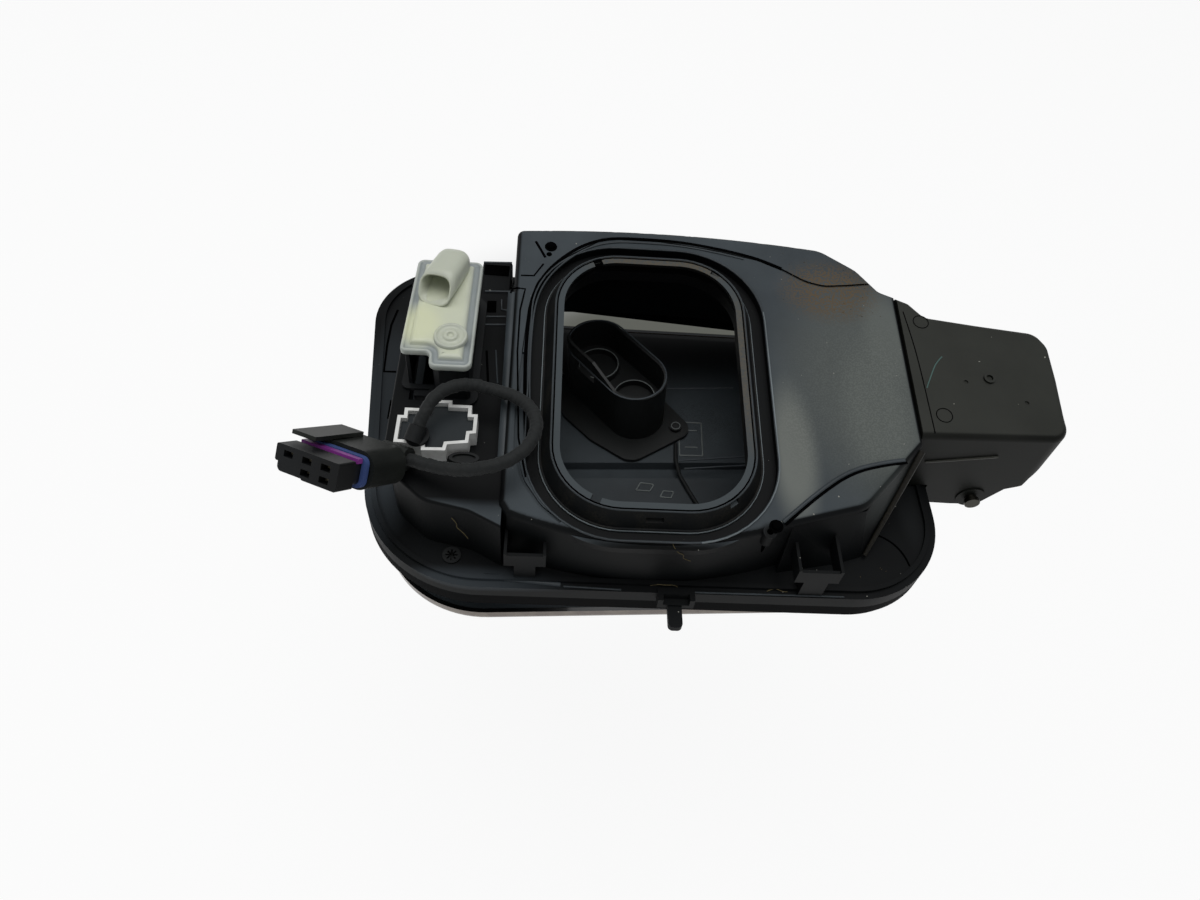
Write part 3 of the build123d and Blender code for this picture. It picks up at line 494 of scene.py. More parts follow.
def empty_tree(name, inputs):
    """A Geometry Nodes group that takes a shape and named sizes, and gives a shape."""
    tree = bpy.data.node_groups.new(name, "GeometryNodeTree")
    tree.interface.new_socket("Geometry", in_out="INPUT", socket_type="NodeSocketGeometry")
    for label, kind, value in inputs:
        socket = tree.interface.new_socket(label, in_out="INPUT", socket_type=kind)
        if value is not None:
            socket.default_value = value
    tree.interface.new_socket("Geometry", in_out="OUTPUT", socket_type="NodeSocketGeometry")
    start = put(tree, "NodeGroupInput")
    return tree, start.outputs


def close_tree(tree, shape, material):
    """Ends a tree in Realize Instances and Set Material."""
    real = put(tree, "GeometryNodeRealizeInstances", {"Geometry": shape}).outputs["Geometry"]
    done = put(tree, "GeometryNodeSetMaterial", {"Geometry": real, "Material": material}).outputs["Geometry"]
    put(tree, "NodeGroupOutput", {"Geometry": done})
    return tree


def band_tree():
    """A flat-topped moulded band that follows a path."""
    tree, given = empty_tree("band along a path", [
        ("Width", "NodeSocketFloat", 0.001), ("Height", "NodeSocketFloat", 0.0005),
        ("Round", "NodeSocketFloat", 0.0), ("Material", "NodeSocketMaterial", None),
    ])
    turned = put(tree, "GeometryNodeFilletCurve", {
        "Curve": given["Geometry"], "Count": 6, "Radius": given["Round"], "Limit Radius": True,
    }, mode="POLY").outputs["Curve"]
    path = put(tree, "GeometryNodeSetCurveNormal", {"Curve": turned}, mode="Z_UP").outputs["Curve"]
    section = put(tree, "GeometryNodeCurvePrimitiveQuadrilateral", {
        "Width": given["Width"], "Height": given["Height"],
    }).outputs["Curve"]
    band = put(tree, "GeometryNodeCurveToMesh", {"Curve": path, "Profile Curve": section, "Fill Caps": True})
    return close_tree(tree, band.outputs["Mesh"], given["Material"])


def ring_tree():
    """A raised ring at each point."""
    tree, given = empty_tree("rings at points", [
        ("Radius", "NodeSocketFloat", 0.002), ("Wire", "NodeSocketFloat", 0.0003),
        ("Tilt", "NodeSocketVector", (REAR_TILT, 0.0, 0.0)), ("Material", "NodeSocketMaterial", None),
    ])
    loop, wire = (
        put(tree, "GeometryNodeCurvePrimitiveCircle", {"Resolution": sides, "Radius": radius}).outputs["Curve"]
        for sides, radius in ((28, given["Radius"]), (8, given["Wire"]))
    )
    ring = put(tree, "GeometryNodeCurveToMesh", {"Curve": loop, "Profile Curve": wire}).outputs["Mesh"]
    laid = put(tree, "GeometryNodeInstanceOnPoints", {
        "Points": given["Geometry"], "Instance": ring, "Rotation": given["Tilt"],
    }).outputs["Instances"]
    return close_tree(tree, laid, given["Material"])


def stud_tree():
    """A low round stud with a broken edge at each point."""
    tree, given = empty_tree("studs at points", [
        ("Radius", "NodeSocketFloat", 0.001), ("Height", "NodeSocketFloat", 0.001),
        ("Material", "NodeSocketMaterial", None),
    ])
    crown = put(tree, "ShaderNodeMath", {0: given["Radius"], 1: 0.86}, operation="MULTIPLY").outputs[0]
    post = put(tree, "GeometryNodeMeshCone", {
        "Vertices": 20, "Radius Top": crown, "Radius Bottom": given["Radius"], "Depth": given["Height"],
    }).outputs["Mesh"]
    laid = put(tree, "GeometryNodeInstanceOnPoints", {
        "Points": given["Geometry"], "Instance": post, "Rotation": (REAR_TILT, 0.0, 0.0),
    }).outputs["Instances"]
    return close_tree(tree, laid, given["Material"])


def grit_tree():
    """Grains of grit lying over a patch of surface."""
    tree, given = empty_tree("grit on a surface", [
        ("Density", "NodeSocketFloat", 5000.0), ("Size", "NodeSocketFloat", 0.0004),
        ("Seed", "NodeSocketInt", 3), ("Material", "NodeSocketMaterial", None),
    ])
    scatter = put(tree, "GeometryNodeDistributePointsOnFaces", {
        "Mesh": given["Geometry"], "Density": given["Density"], "Seed": given["Seed"],
    })
    grain = put(tree, "GeometryNodeMeshIcoSphere", {"Radius": given["Size"], "Subdivisions": 1}).outputs["Mesh"]
    turn = put(tree, "FunctionNodeRandomValue", {
        0: (0.0, 0.0, 0.0), 1: (3.0, 3.0, 3.0), "Seed": 11,
    }, data_type="FLOAT_VECTOR").outputs[0]
    scale = put(tree, "FunctionNodeRandomValue", {
        0: (0.4, 0.4, 0.3), 1: (1.3, 1.0, 0.7), "Seed": 5,
    }, data_type="FLOAT_VECTOR").outputs[0]
    laid = put(tree, "GeometryNodeInstanceOnPoints", {
        "Points": scatter.outputs["Points"], "Instance": grain, "Rotation": turn, "Scale": scale,
    }).outputs["Instances"]
    return close_tree(tree, laid, given["Material"])


def path_shape(name, paths, closed=False, smooth=False):
    """A curve object with one spline per path, points in millimetres; smooth ones bend near their points."""
    curve = bpy.data.curves.new(name, "CURVE")
    curve.dimensions = "3D"
    for points in paths:
        spline = curve.splines.new("NURBS" if smooth else "POLY")
        spline.points.add(len(points) - 1)
        if smooth:
            spline.order_u = 3
            spline.use_endpoint_u = True
            spline.resolution_u = 6
        for point, place in zip(spline.points, points):
            point.co = (*(Vector(place) / 1000), 1.0)
        spline.use_cyclic_u = closed
    return bpy.data.objects.new(name, curve)


def rim_path(grow, lift):
    """The aperture's outline on the rear face, made larger all round, in millimetres."""
    half_x, half_y, radius = APERTURE[0] / 2 + grow, APERTURE[1] / 2 + grow, APERTURE[2] + grow
    corners = [(1, 1, 0), (-1, 1, 90), (-1, -1, 180), (1, -1, 270)]
    points = []
    for side_x, side_y, start in corners:
        for step in range(13):
            turn = radians(start + 7.5 * step)
            x = side_x * (half_x - radius) + radius * cos(turn)
            y = side_y * (half_y - radius) + radius * sin(turn)
            rise = y * sin(REAR_TILT) + lift * cos(REAR_TILT)
            points.append((x, y * cos(REAR_TILT) - lift * sin(REAR_TILT), rise))
    return points


def point_shape(name, points):
    """A mesh of loose points, given in millimetres."""
    mesh = bpy.data.meshes.new(name)
    mesh.from_pydata([Vector(place) / 1000 for place in points], [], [])
    return bpy.data.objects.new(name, mesh)


def patch_shape(name, outlines):
    """Flat faces from outlines in millimetres, to scatter on."""
    mesh = bpy.data.meshes.new(name)
    corners, faces = [], []
    for outline in outlines:
        faces.append(list(range(len(corners), len(corners) + len(outline))))
        corners += [Vector(place) / 1000 for place in outline]
    mesh.from_pydata(corners, [], faces)
    return bpy.data.objects.new(name, mesh)


def grown(source, tree, sizes, body, smooth=False):
    """Runs a tree on a source shape and leaves one plain mesh piece that rides on a body."""
    scene = bpy.context.scene
    scene.collection.objects.link(source)
    modifier = source.modifiers.new("shape", "NODES")
    modifier.node_group = tree
    for item in tree.interface.items_tree:
        if item.in_out == "INPUT" and item.name in sizes:
            modifier[item.identifier] = sizes[item.name]
    bpy.context.view_layer.update()
    seen = source.evaluated_get(bpy.context.evaluated_depsgraph_get())
    mesh = bpy.data.meshes.new_from_object(seen)
    name = source.name
    source.modifiers.remove(modifier)
    bpy.data.objects.remove(source)
    piece = bpy.data.objects.new(name, mesh)
    mesh.name = name
    scene.collection.objects.link(piece)
    if smooth:
        for face in mesh.polygons:
            face.use_smooth = True
    finish_piece(piece, sizes["Material"], body)


def bands(name, paths, material, across=1.0, height=0.0005, body="housing", closed=False,
          smooth=False, turn=0.0, width=None):
    """Moulded bands along paths, with a width of their own or across times that of the edge bands."""
    width = width or bpy.context.scene.flap_module_sizes.edge_band * across
    tree = bpy.data.node_groups.get("band along a path") or band_tree()
    grown(path_shape(name, paths, closed, smooth), tree, {
        "Width": width, "Height": height, "Round": turn, "Material": material,
    }, body)


def rings_at(name, points, radius, wire, material, body="housing", tilt=None):
    """Moulded rings round points, laid on the rear face unless another tilt is given."""
    tree = bpy.data.node_groups.get("rings at points") or ring_tree()
    sizes = {"Radius": radius, "Wire": wire, "Material": material}
    if tilt:
        sizes["Tilt"] = tilt
    grown(point_shape(name, points), tree, sizes, body, True)


class FlapModuleSizes(bpy.types.PropertyGroup):
    """Sizes in metres that the operators read"""
    lead_diameter: bpy.props.FloatProperty(
        name="Lead diameter", description="Outside of the taped lead", default=0.0056, min=0.002, max=0.012,
        unit="LENGTH",
    )
    tape_lap: bpy.props.FloatProperty(
        name="Tape lap", description="Advance of the harness tape in one turn", default=0.0072, min=0.002,
        max=0.02, unit="LENGTH",
    )
    edge_band: bpy.props.FloatProperty(
        name="Edge band", description="Width of the fine moulded ridges", default=0.0009, min=0.0003, max=0.003,
        unit="LENGTH",
    )
    grit_size: bpy.props.FloatProperty(
        name="Grit size", description="Radius of the largest grains of grit", default=0.00028, min=0.0001,
        max=0.001, unit="LENGTH",
    )
    floor_reach: bpy.props.FloatProperty(
        name="Floor reach", description="Half the width of the pale floor", default=6.0, min=1.0, unit="LENGTH",
    )


class FlapModuleColours(bpy.types.PropertyGroup):
    """Colours that the operators read"""
    floor: bpy.props.FloatVectorProperty(
        name="Floor", description="Colour of the pale floor", default=tone("#f2f2f1")[:3], size=3, min=0, max=1,
        subtype="COLOR",
    )


class MODULE_OT_mouldings(bpy.types.Operator):
    """Finishes the black mouldings of the pot, the hinge box and the inside of the flap"""
    bl_idname = "flap_module.mouldings"
    bl_label = "Black mouldings"

    def execute(self, context):
        rear_marks = [
            # the first four marks lighten the right of the rear face with dust and a painted sheen, a bright
            # reflection painted in
            ((96, 4, 0), (52, 74, 40), 1.0, "#545856", None, -1.5),
            ((96, -10, 0), (20, 50, 30), 0.7, "#646864", None, -1.5),
            ((58, -32, -3), (13, 46, 14), 0.85, "#70736e", None, -1.5),
            ((106, 30, 4), (14, 34, 14), 0.55, "#666a66", None, -1.5),
            ((83, 54, 6), (28, 22, 14), 0.85, "#5b4c38", 0.9, -1.5),
            ((88, -6, 0), (46, 70, 30), 0.3, "#3a3e3d", 0.7, -1.5),
            ((45.1, -67.3, -9), (5.5, 5.5, 9), 1.0, "#0b0c0d", None, None),
            # painted shade: the near wall under the rear face goes near black
            ((8, -76, -14), (70, 7, 15), 1.0, "#030404", None, None),
            ((-114, -6, -40), (22, 66, 5), 0.9, "#454b50", None, None),
            ((-72, -76, -40), (46, 9, 4), 1.0, "#33383c", None, None),
            # painted shadow of the lead's loop on the deck
            ((-66, -50, -12), (22, 14, 9), 0.6, "#0b0c0d", None, None),
            ((100, -44, -14), (26, 20, 18), 0.7, "#343837", None, None),
            ((-118, 20, -40), (14, 60, 10), 0.9, "#25292c", None, None),
            ((118, -20, -40), (8, 40, 8), 0.5, "#222425", None, None),
        ]
        # the pot's up-facing rear face takes dust and a painted sheen
        dress("pot_housing", grained_moulding(
            POT_FINISH, "#101213", "#090a0b", 0.55, marks=rear_marks, specks=0.2, dust_and_sheen=("#43494d", -3.3),
            gloss=0.1,
        ))
        dress("hinge_box", grained_moulding(
            "grained brown-black polypropylene", "#191a17", "#121310", 0.52, specks=0.18,
            dust_and_sheen=("#30312d", -3.0), gloss=0.14,
        ))
        plain = grained_moulding("black polypropylene", "#16181a", "#0f1112", 0.5, gloss=0.2)
        for name in ("hinge_arm", "actuator_body", "striker"):
            dress(name, plain)
        # painted reflection and shade on the black liner: the far part goes near black for the shade under the
        # pot and its mirrored dark wall, and the rest is a lighter grey that stands in for the mirrored sky
        inner = grained_moulding("fine grained polypropylene", "#3a4044", "#2e3336", 0.5, gloss=0.2, marks=[
            ((10, 88, -66), (140, 42, 40), 1.0, "#0d0e10", None, None),
            ((35, 30, -64), (26, 24, 20), 0.45, "#454b4f", 0.6, None),
            ((30, -18, -66), (60, 24, 20), 0.5, "#22262a", None, None),
        ])
        dress("flap_liner", inner)
        for name, finish, light, dark, roughness, gloss in (
            ("lamp_lid", "matt black polyester", "#2b3033", "#212527", 0.5, 0.2),
            ("connector_housing", "black polyester", "#141618", "#0c0d0e", 0.45, 0.25),
            ("connector_collar", "grey-black polyester", "#2a2c29", "#181a18", 0.45, 0.2),
        ):
            dress(name, grained_moulding(finish, light, dark, roughness, gloss))
        smooth = grained_moulding("smooth black polypropylene", "#1a1c1c", "#121313", 0.42, gloss=0.3)
        for name in ("cap_holder", "holder_rivets"):
            dress(name, smooth)
        return {"FINISHED"}


class MODULE_OT_moulded_lines(bpy.types.Operator):
    """Adds the fine ridges, seams and rings moulded on the pot and the hinge box, with painted highlights on the
    ridges and painted shade in the seams
    """
    bl_idname = "flap_module.moulded_lines"
    bl_label = "Moulded lines"

    def execute(self, context):
        pot = bpy.data.materials[POT_FINISH]
        # the lighter finishes here paint highlights on ridges, rims and edges and a brighter glint; the near
        # black one paints shade in grooves, seams, slots and round the knobs, and also makes the knobs
        highlit = grained_moulding(HIGHLIGHT_FINISH, "#3a4044", "#2b3033", 0.42, gloss=0.3)
        glint_paint = grained_moulding("black polypropylene, painted glint", "#737b7e", "#565d60", 0.4, gloss=0.4)
        dull = grained_moulding(SHADE_FINISH, "#060607", "#030303", 0.7, gloss=0.0)
        brown = grained_moulding("brown-black polypropylene, painted highlight", "#3b3b35", "#2c2c27", 0.45, gloss=0.25)
        scuff = grained_moulding("pale scuff on polypropylene", "#4c6560", "#3c524e", 0.6, gloss=0.2)

        step = [(50.5, -62.6), (53.6, -59.8), (66.8, -48.2), (80.3, -38.5), (95.5, -34), (104, -32.7)]
        foot = [(x + 0.9, y - 1.0) for x, y in step]
        bands("rear_step", [on_rear(step, 0.1)], highlit, 1.7, 0.0009, smooth=True)
        bands("rear_step_foot", [on_rear(foot)], dull, 1.3, 0.0003, smooth=True)
        bands("well_rim", [rim_path(13.9, 0.1)], highlit, 0.8, 0.0006, closed=True)
        rim = rim_path(14.1, 0.25)
        # a painted glint round the well's rim
        bands("well_glint", [rim[40:] + rim[:2]], glint_paint, 0.6, 0.0006)
        bands("flange_pads", [on_flange([(-65.4, -73.2), (-34.6, -75.6)], 0.2)], highlit, 2.6, 0.0010)
        bands("flange_beads", [
            on_flange([(-33.4, -76.6), (-10.0, -77.3)], 0.2),
            on_flange([(14.0, -77.4), (47.0, -77.3), (82.0, -77.2)], 0.2),
        ], highlit, 0.6, 0.0008)
        bands("edge_seams", [
            [rear(-61.4, 44.6, -1.2), rear(-60.4, 46.2, -0.5), *on_rear([
                (-58.6, 46.4), (-54.9, 46.0), (-55.4, 42.6), (-56.6, 34.0), (-56.6, 12.0), (-54.0, -30.0),
                (-50.3, -47.5),
            ])],
            on_rear([(-57.2, 53.6), (-51.4, 53.8), (-47.4, 61.0)]),
        ], dull, 0.8, 0.0004)
        bands("slot_mark", [on_rear([(-51.4, 74.0), (-46.7, 64.8)])], dull, 1.2, 0.0004)
        bands("side_rail", [on_rear([(-60.4, 45.6), (-59.8, -38.0)], -3.8)], highlit, 4.6, 0.0050)
        # a painted highlight along the hinge box's ridge
        bands("box_ridge", [
            [(121.5, -20.7, -20.4), (137, -20.4, -17.8), (152, -20.1, -15.2)],
        ], brown, 1.0, 0.0008)
        bands("box_seam", [
            on_rear([(116.0, 44.6), (117.7, 30.0), (118.6, 14.4), (119.1, -7.6), (119.3, -19.0)]),
        ], dull, 0.5, 0.0002, smooth=True)
        bands("box_scuff", [
            on_rear([(129.7, 20.5), (126.4, 17.4), (122.7, 9.8), (119.8, 3.6)]),
        ], scuff, 0.6, 0.0002, smooth=True)
        bands("flange_seam", [
            on_flange([(99.5, -46.0), (104.8, -47.5), (111.8, -55.0), (113.0, -61.5)]),
        ], dull, 0.8, 0.0003, smooth=True)

        # the groove that the CAD model cuts is filled, and a finer one lies where the photo shows it
        cut = [
            (61.4, 66.2), (51.5, 70.9), (34, 75), (6, 79), (-20, 79), (-38.7, 65.4), (-49.4, 50.1),
            (-52.4, 35.8), (-54, 12),
        ]
        arc = [
            (62.0, 65.8), (54.5, 69.6), (46.4, 72.4), (34.4, 75.4), (15.3, 78.6), (-2.2, 79.0),
            (-17.1, 78.6), (-29.3, 73.9), (-40.9, 63.4), (-48.6, 51.6), (-52.2, 39.0), (-53.0, 23.7),
            (-53.1, 8.0), (-52.3, -14.0), (-50.6, -36.0),
        ]
        lip = [(x * 0.962, y * 0.970) for x, y in arc[2:]]
        bands("groove_fill", [on_rear(cut, -0.45)], pot, 1.7, 0.0010, turn=0.016)
        # the finer groove is a painted line of shade, with a painted highlight on its lip
        bands("groove_line", [on_rear(arc, 0.1)], dull, 1.7, 0.0004, smooth=True)
        bands("groove_lip", [on_rear(lip, 0.1)], highlit, 0.8, 0.0009, smooth=True)

        bands("gasket_line", [rim_path(2.9, 5.45)], dull, 0.7, 0.0003, closed=True)
        bands("gasket_bead", [rim_path(3.7, 5.45)], highlit, 0.55, 0.0009, closed=True)
        bands("gasket_foot", [rim_path(8.3, -3.4)], glint_paint, 0.5, 0.0007, closed=True)
        bands("deck_seams", [
            on_flange([(-119.0, 73.6), (-120.8, 63.2), (-121.0, 49.9), (-120.2, 33.0), (-114.6, 33.1)]),
            on_deck([(-70.6, 22.0), (-68.6, 3.0)], 0.05),
        ], dull, 1.1, 0.0003)
        bands("deck_lines", [on_deck(points) for points in (
            [(-73.2, 42.6), (-63.4, 43.2)], [(-73.0, 37.6), (-63.2, 38.2)],
            [(-66.0, 54.0), (-65.6, 47.5), (-62.6, 47.2)], [(-66.6, 22.5), (-64.6, 3.5)],
            [(-74.0, 58.9), (-61.4, 59.6)],
        )], highlit, 0.8, 0.0006)
        bands("deck_window", [on_deck([(-70.4, 52.8), (-70.1, 45.6)])], dull, 4.6, 0.0003)
        bands("deck_notch", [on_flange([(-115.0, 10.5), (-109.6, 10.5)])], dull, 12.0, 0.0003)

        knobs = [rear(-44.4, 71.3, 0.1), rear(47.5, -64.8, 0.6)]
        rings_at("knob_rings", knobs, 0.0023, 0.0005, dull)
        grown(point_shape("knobs", knobs), stud_tree(), {
            "Radius": 0.0019, "Height": 0.0016, "Material": dull,
        }, "housing", True)
        stamps = on_rear([(123.3, 39.2), (125.0, -10.0)], HINGE_TOP)
        rings_at("tool_rings", stamps, 0.00345, 0.00018, dull)
        return {"FINISHED"}


class MODULE_OT_bracket(bpy.types.Operator):
    """Adds the moulded bracket between the lock drive and the pot"""
    bl_idname = "flap_module.bracket"
    bl_label = "Lock bracket"

    def execute(self, context):
        corners = [(-76.6, 57.0), (-62.6, 57.0), (-62.2, 79.2), (-76.2, 78.4)]
        profile = [
            (0.0, FLANGE_LEVEL), (0.0, -10.6), (0.15, -10.2), (0.5, DECK_LEVEL), (1.3, DECK_LEVEL), (1.5, -10.2),
        ]
        shell = Shell()
        rings = [[(p.x, p.y, z) for p in rounded_outline(corners, [1.2] * 4, inset)] for inset, z in profile]
        shell.rings(rings, [0.0] * len(rings), close_first=True)
        finish_piece(shell.piece("lock_bracket"), bpy.data.materials[POT_FINISH], "housing")
        dull, highlit = bpy.data.materials[SHADE_FINISH], bpy.data.materials[HIGHLIGHT_FINISH]
        # painted shade in the recess, and a painted highlight on the rim
        bands("bracket_recess", [on_deck([(-69.4, 76.8), (-69.6, 70.2)], 0.0)], dull, width=0.0115)
        bands("bracket_rim", [on_deck([(-76.0, 78.3), (-62.6, 79.0)], 0.0)], highlit, height=0.0008)
        return {"FINISHED"}


class MODULE_OT_liner_lines(bpy.types.Operator):
    """Adds the fine ridges on the flap's liner and the rims of the two cap recesses"""
    bl_idname = "flap_module.liner_lines"
    bl_label = "Liner lines"

    def execute(self, context):
        # painted highlights on the liner's step and the holder's rim; the pale finish gives the pictogram and
        # painted highlights on the recess and rivet rims
        highlit = grained_moulding("liner polypropylene, painted highlight", "#454b50", "#363b3f", 0.42, gloss=0.3)
        pale = grained_moulding("pale polypropylene: pictogram and painted highlights", "#767b7a", "#585d5c", 0.5, gloss=0.3)
        turn = 0.0006
        bands("liner_frame", [on_liner(points) for points in (
            [(22.2, 9.5), (33.4, 9.2), (34.0, 29.4), (22.8, 30.0), (22.2, 9.5)],
            [(25.0, 24.8), (31.5, 24.6)], [(25.0, 14.5), (31.2, 14.3)],
        )], pale, 0.7, 0.0004, body="flap", turn=turn)
        bands("liner_marks", [on_liner(points) for points in (
            [(0.5, -10.8), (7.0, -11.4), (9.2, -7.6), (2.8, -6.6), (0.5, -10.8)],
            [(11.8, -14.6), (16.8, -15.2), (18.4, -11.8), (13.4, -11.2), (11.8, -14.6)],
        )], pale, 0.6, 0.0004, body="flap", turn=turn)
        bands("liner_step", [on_liner(points) for points in (
            [(-30, 51.0), (52, 52.2)], [(22, 6.4), (54, 8.8)], [(24, 1.6), (54, 3.6)],
        )], highlit, 0.8, 0.0005, body="flap", turn=turn)

        far, near, reach = Vector((-19.3, 54.1)), Vector((-2.4, 33.3)), 15.0
        start = atan2(far.y - near.y, far.x - near.x) + pi / 2
        rim = []
        for centre, first in ((near, start), (far, start + pi)):
            for step in range(17):
                angle = first + pi * step / 16
                rim.append(across_holder(centre.x + reach * cos(angle), centre.y + reach * sin(angle), -33.95))
        bands("holder_rim", [rim], highlit, body="flap", closed=True, width=0.0006)
        recesses = [across_holder(-18.4, 52.7, -47.45), across_holder(-1.2, 31.9, -47.45)]
        rivets = [across_holder(20.6, 25.0, -62.3), (-37.9, 59.6, -65.0)]
        for name, points, radius in (("recess_rims", recesses, 0.0098), ("rivet_rings", rivets, 0.0021)):
            rings_at(name, points, radius, 0.00025, pale, "flap", tilt=(0.0, -LINER_SLOPE, 0.0))
        return {"FINISHED"}


class MODULE_OT_dirt(bpy.types.Operator):
    """Adds the grit and the dry fibres that lie on the pot"""
    bl_idname = "flap_module.dirt"
    bl_label = "Grit and fibres"

    def execute(self, context):
        soil = grained_moulding("dry soil", "#6f6048", "#54493a", 0.8, gloss=0.1)
        straw = grained_moulding("dry grass", "#6d6347", "#574e38", 0.7, gloss=0.1)
        patches = [
            on_rear([(60, 44), (108, 38), (100, 66), (62, 76)], 0.1),
            on_flange([(84, -72), (112, -66), (110, -56), (90, -66)]),
        ]
        grown(patch_shape("grit", patches), grit_tree(), {
            "Density": 24000.0, "Size": context.scene.flap_module_sizes.grit_size, "Seed": 4, "Material": soil,
        }, "housing")
        threads = [
            [
                (-78.5, -60.2, -17.2), (-76.4, -60.6, -20.5), (-77.0, -60.9, -23.0), (-73.8, -61.9, -25.6),
                (-72.4, -62.8, -28.2),
            ],
            [
                (7.0, -72.9, -9.4), (8.6, -75.0, -12.0), (12.4, -74.6, -14.6), (11.6, -74.2, -18.0),
                (15.6, -73.6, -20.8),
            ],
            [
                (2.0, -75.0, -39.6), (4.0, -74.8, -38.6), (8.0, -75.6, -37.6), (12.2, -74.8, -38.8),
                (13.0, -75.2, -39.7),
            ],
            [(50.0, -75.8, -39.7), (53.0, -74.2, -39.2), (57.0, -76.4, -39.0), (58.5, -75.6, -39.7)],
        ]
        bands("fibres", threads, straw, height=0.00022, smooth=True, width=0.00022)
        return {"FINISHED"}


class MODULE_OT_rubbers(bpy.types.Operator):
    """Finishes the gasket, the seals and the small plugs"""
    bl_idname = "flap_module.rubbers"
    bl_label = "Rubber pieces"

    def execute(self, context):
        # the gasket's top takes dust and a painted sheen, and its far inner wall painted shade
        rubber = dusty_rubber(
            "dusty black rubber, painted sheen and shade", "#101213", "#0a0c0d", "#25231e", 0.4, top="#41474a", gloss=0.15, stains=[
                ((10, 62, 12), (52, 16, 10), "#544d41"), ((42, 8, 6), (14, 60, 14), "#544f46"),
            ], painted_shade=((8, 58, 2), (72, 15, 13)),
        )
        for name in ("aperture_gasket", "flap_bumpers", "pin_boot"):
            dress(name, rubber)
        dress("flange_seal", grained_moulding("matt seal rubber", "#0a0b0c", "#060607", 0.75, gloss=0.05))
        clean = dusty_rubber("black rubber", "#141617", "#0c0e0f", "#2a2a27", 0.3)
        for name in ("cable_gland", "oval_plug", "star_plug", "cap_tether"):
            dress(name, clean)
        dress("hinge_strip", dusty_rubber("tan dusted rubber", "#171510", "#0f0e0b", "#26221a", 0.6))
        dress("connector_seal", dusty_rubber("blue silicone", "#42558a", "#2f3f6b", "#56658c", 0.2))
        return {"FINISHED"}


class MODULE_OT_clear_parts(bpy.types.Operator):
    """Finishes the lock drive's cover, the lamp box and the plug's lock"""
    bl_idname = "flap_module.clear_parts"
    bl_label = "Pale plastic pieces"

    def execute(self, context):
        milky = natural_polypropylene()
        dress("actuator_cover", milky)
        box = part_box("actuator_cover")
        left, right = box[0][0] * 1000 + 1.0, box[1][0] * 1000
        near, far = box[0][1] * 1000 + 1.0, COVER_FAR
        top = box[0][2] * 1000 + 2.5
        corners = [
            (left + 0.6, far), (left - 1.0, near + 7.7), (left + 11.0, near + 7.7), (left + 11.4, near),
            (right - 0.6, near), (right, far),
        ]
        radii = [3.0, 2.2, 2.0, 3.0, 3.2, 3.4]
        # each ring is an inset, a height and the mark that the finish is coloured by
        profile = [
            (0.9, -2.5, 0.0), (0.35, -2.4, 0.0), (0.0, -1.9, 0.0), (0.0, 0.0, 0.03), (0.25, 0.5, 0.06),
            (0.7, 0.75, 0.08), (1.15, 0.6, 0.10), (1.5, 0.2, 0.16), (2.1, 0.05, 0.24), (3.0, 0.05, 0.34),
            (3.5, 0.3, 0.42), (3.8, 1.2, 0.5), (4.2, 1.75, 0.6), (5.0, 2.0, 0.8), (6.2, 2.1, 1.0),
        ]
        shell = Shell()
        rings = [
            [(p.x, p.y, top + z) for p in rounded_outline(corners, radii, inset)] for inset, z, mark in profile
        ]
        shell.rings(rings, [mark for inset, z, mark in profile], close_first=True)

        boss = (right - 9.9, 6.6)
        turned = [
            (7.0, 1.9), (6.9, 2.9), (6.7, 3.4), (6.2, 3.6), (5.7, 3.5), (5.4, 3.1), (4.9, 2.9), (3.4, 2.9),
            (3.1, 3.2), (2.9, 3.7), (2.4, 3.9), (1.6, 3.9), (1.3, 3.6), (1.2, 3.1), (0.4, 3.0),
        ]
        spokes = [(cos(pi * t / 18), sin(pi * t / 18)) for t in range(36)]
        circles = [
            [(boss[0] + radius * a, boss[1] + radius * b, top + z) for a, b in spokes] for radius, z in turned
        ]
        shell.rings(circles, [0.50 + 0.04 * (7.0 - radius) for radius, z in turned])

        # the spout is a thin hood, cut back at its upper side
        mouth = Vector((left + 9.6, 25.0, top + 7.2))
        ahead = Vector((0.28, 0.95, -0.12)).normalized()
        across = Vector((0.95, -0.3, 0.1))
        across = (across - ahead * across.dot(ahead)).normalized()
        upward = across.cross(ahead)

        def section(half_wide, half_high, along, cut):
            """A squarish ring round the spout's axis; the cut moves its upper side ahead."""
            ring = []
            for t in range(40):
                angle = 2 * pi * t / 40
                a, b = cos(angle), sin(angle)
                x = half_wide * (abs(a) ** 0.62) * (1 if a > 0 else -1)
                z = half_high * (abs(b) ** 0.72) * (1 if b > 0 else -1)
                place = mouth + across * x + upward * z + ahead * (along + cut * (z / half_high * 0.5 + 0.5))
                ring.append(tuple(place))
            return ring

        outside = [
            (7.2, 5.6, 0.0, 7.0), (7.4, 5.8, 9.0, 3.0), (7.4, 5.8, 18.0, 0.0), (7.2, 5.7, 24.0, 0.0),
            (6.6, 5.2, 26.8, 0.0), (5.2, 4.1, 28.6, 0.0), (3.2, 2.5, 29.4, 0.0),
        ]
        inside = [(6.3, 4.7, 22.0, 0.0), (6.5, 4.9, 16.0, 0.0), (6.5, 4.9, 9.0, 3.0), (6.4, 4.8, 0.1, 7.0)]
        shell.rings([section(*size) for size in outside], [0.62] * len(outside))
        walls = [section(*size) for size in [*inside, outside[0]]]
        shell.rings(walls, [0.75] * len(walls), close_first=True, close_last=False)
        cover = shell.piece("lock_drive_cover")
        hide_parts("actuator_cover")
        finish_piece(cover, milky, "housing")
        dress("lamp_housing", smooth_moulding("white styrene", "#dededb", 0.45))
        dress("connector_lock", smooth_moulding("purple polyester", "#7a2f80", 0.4, "#4e2558"))
        return {"FINISHED"}


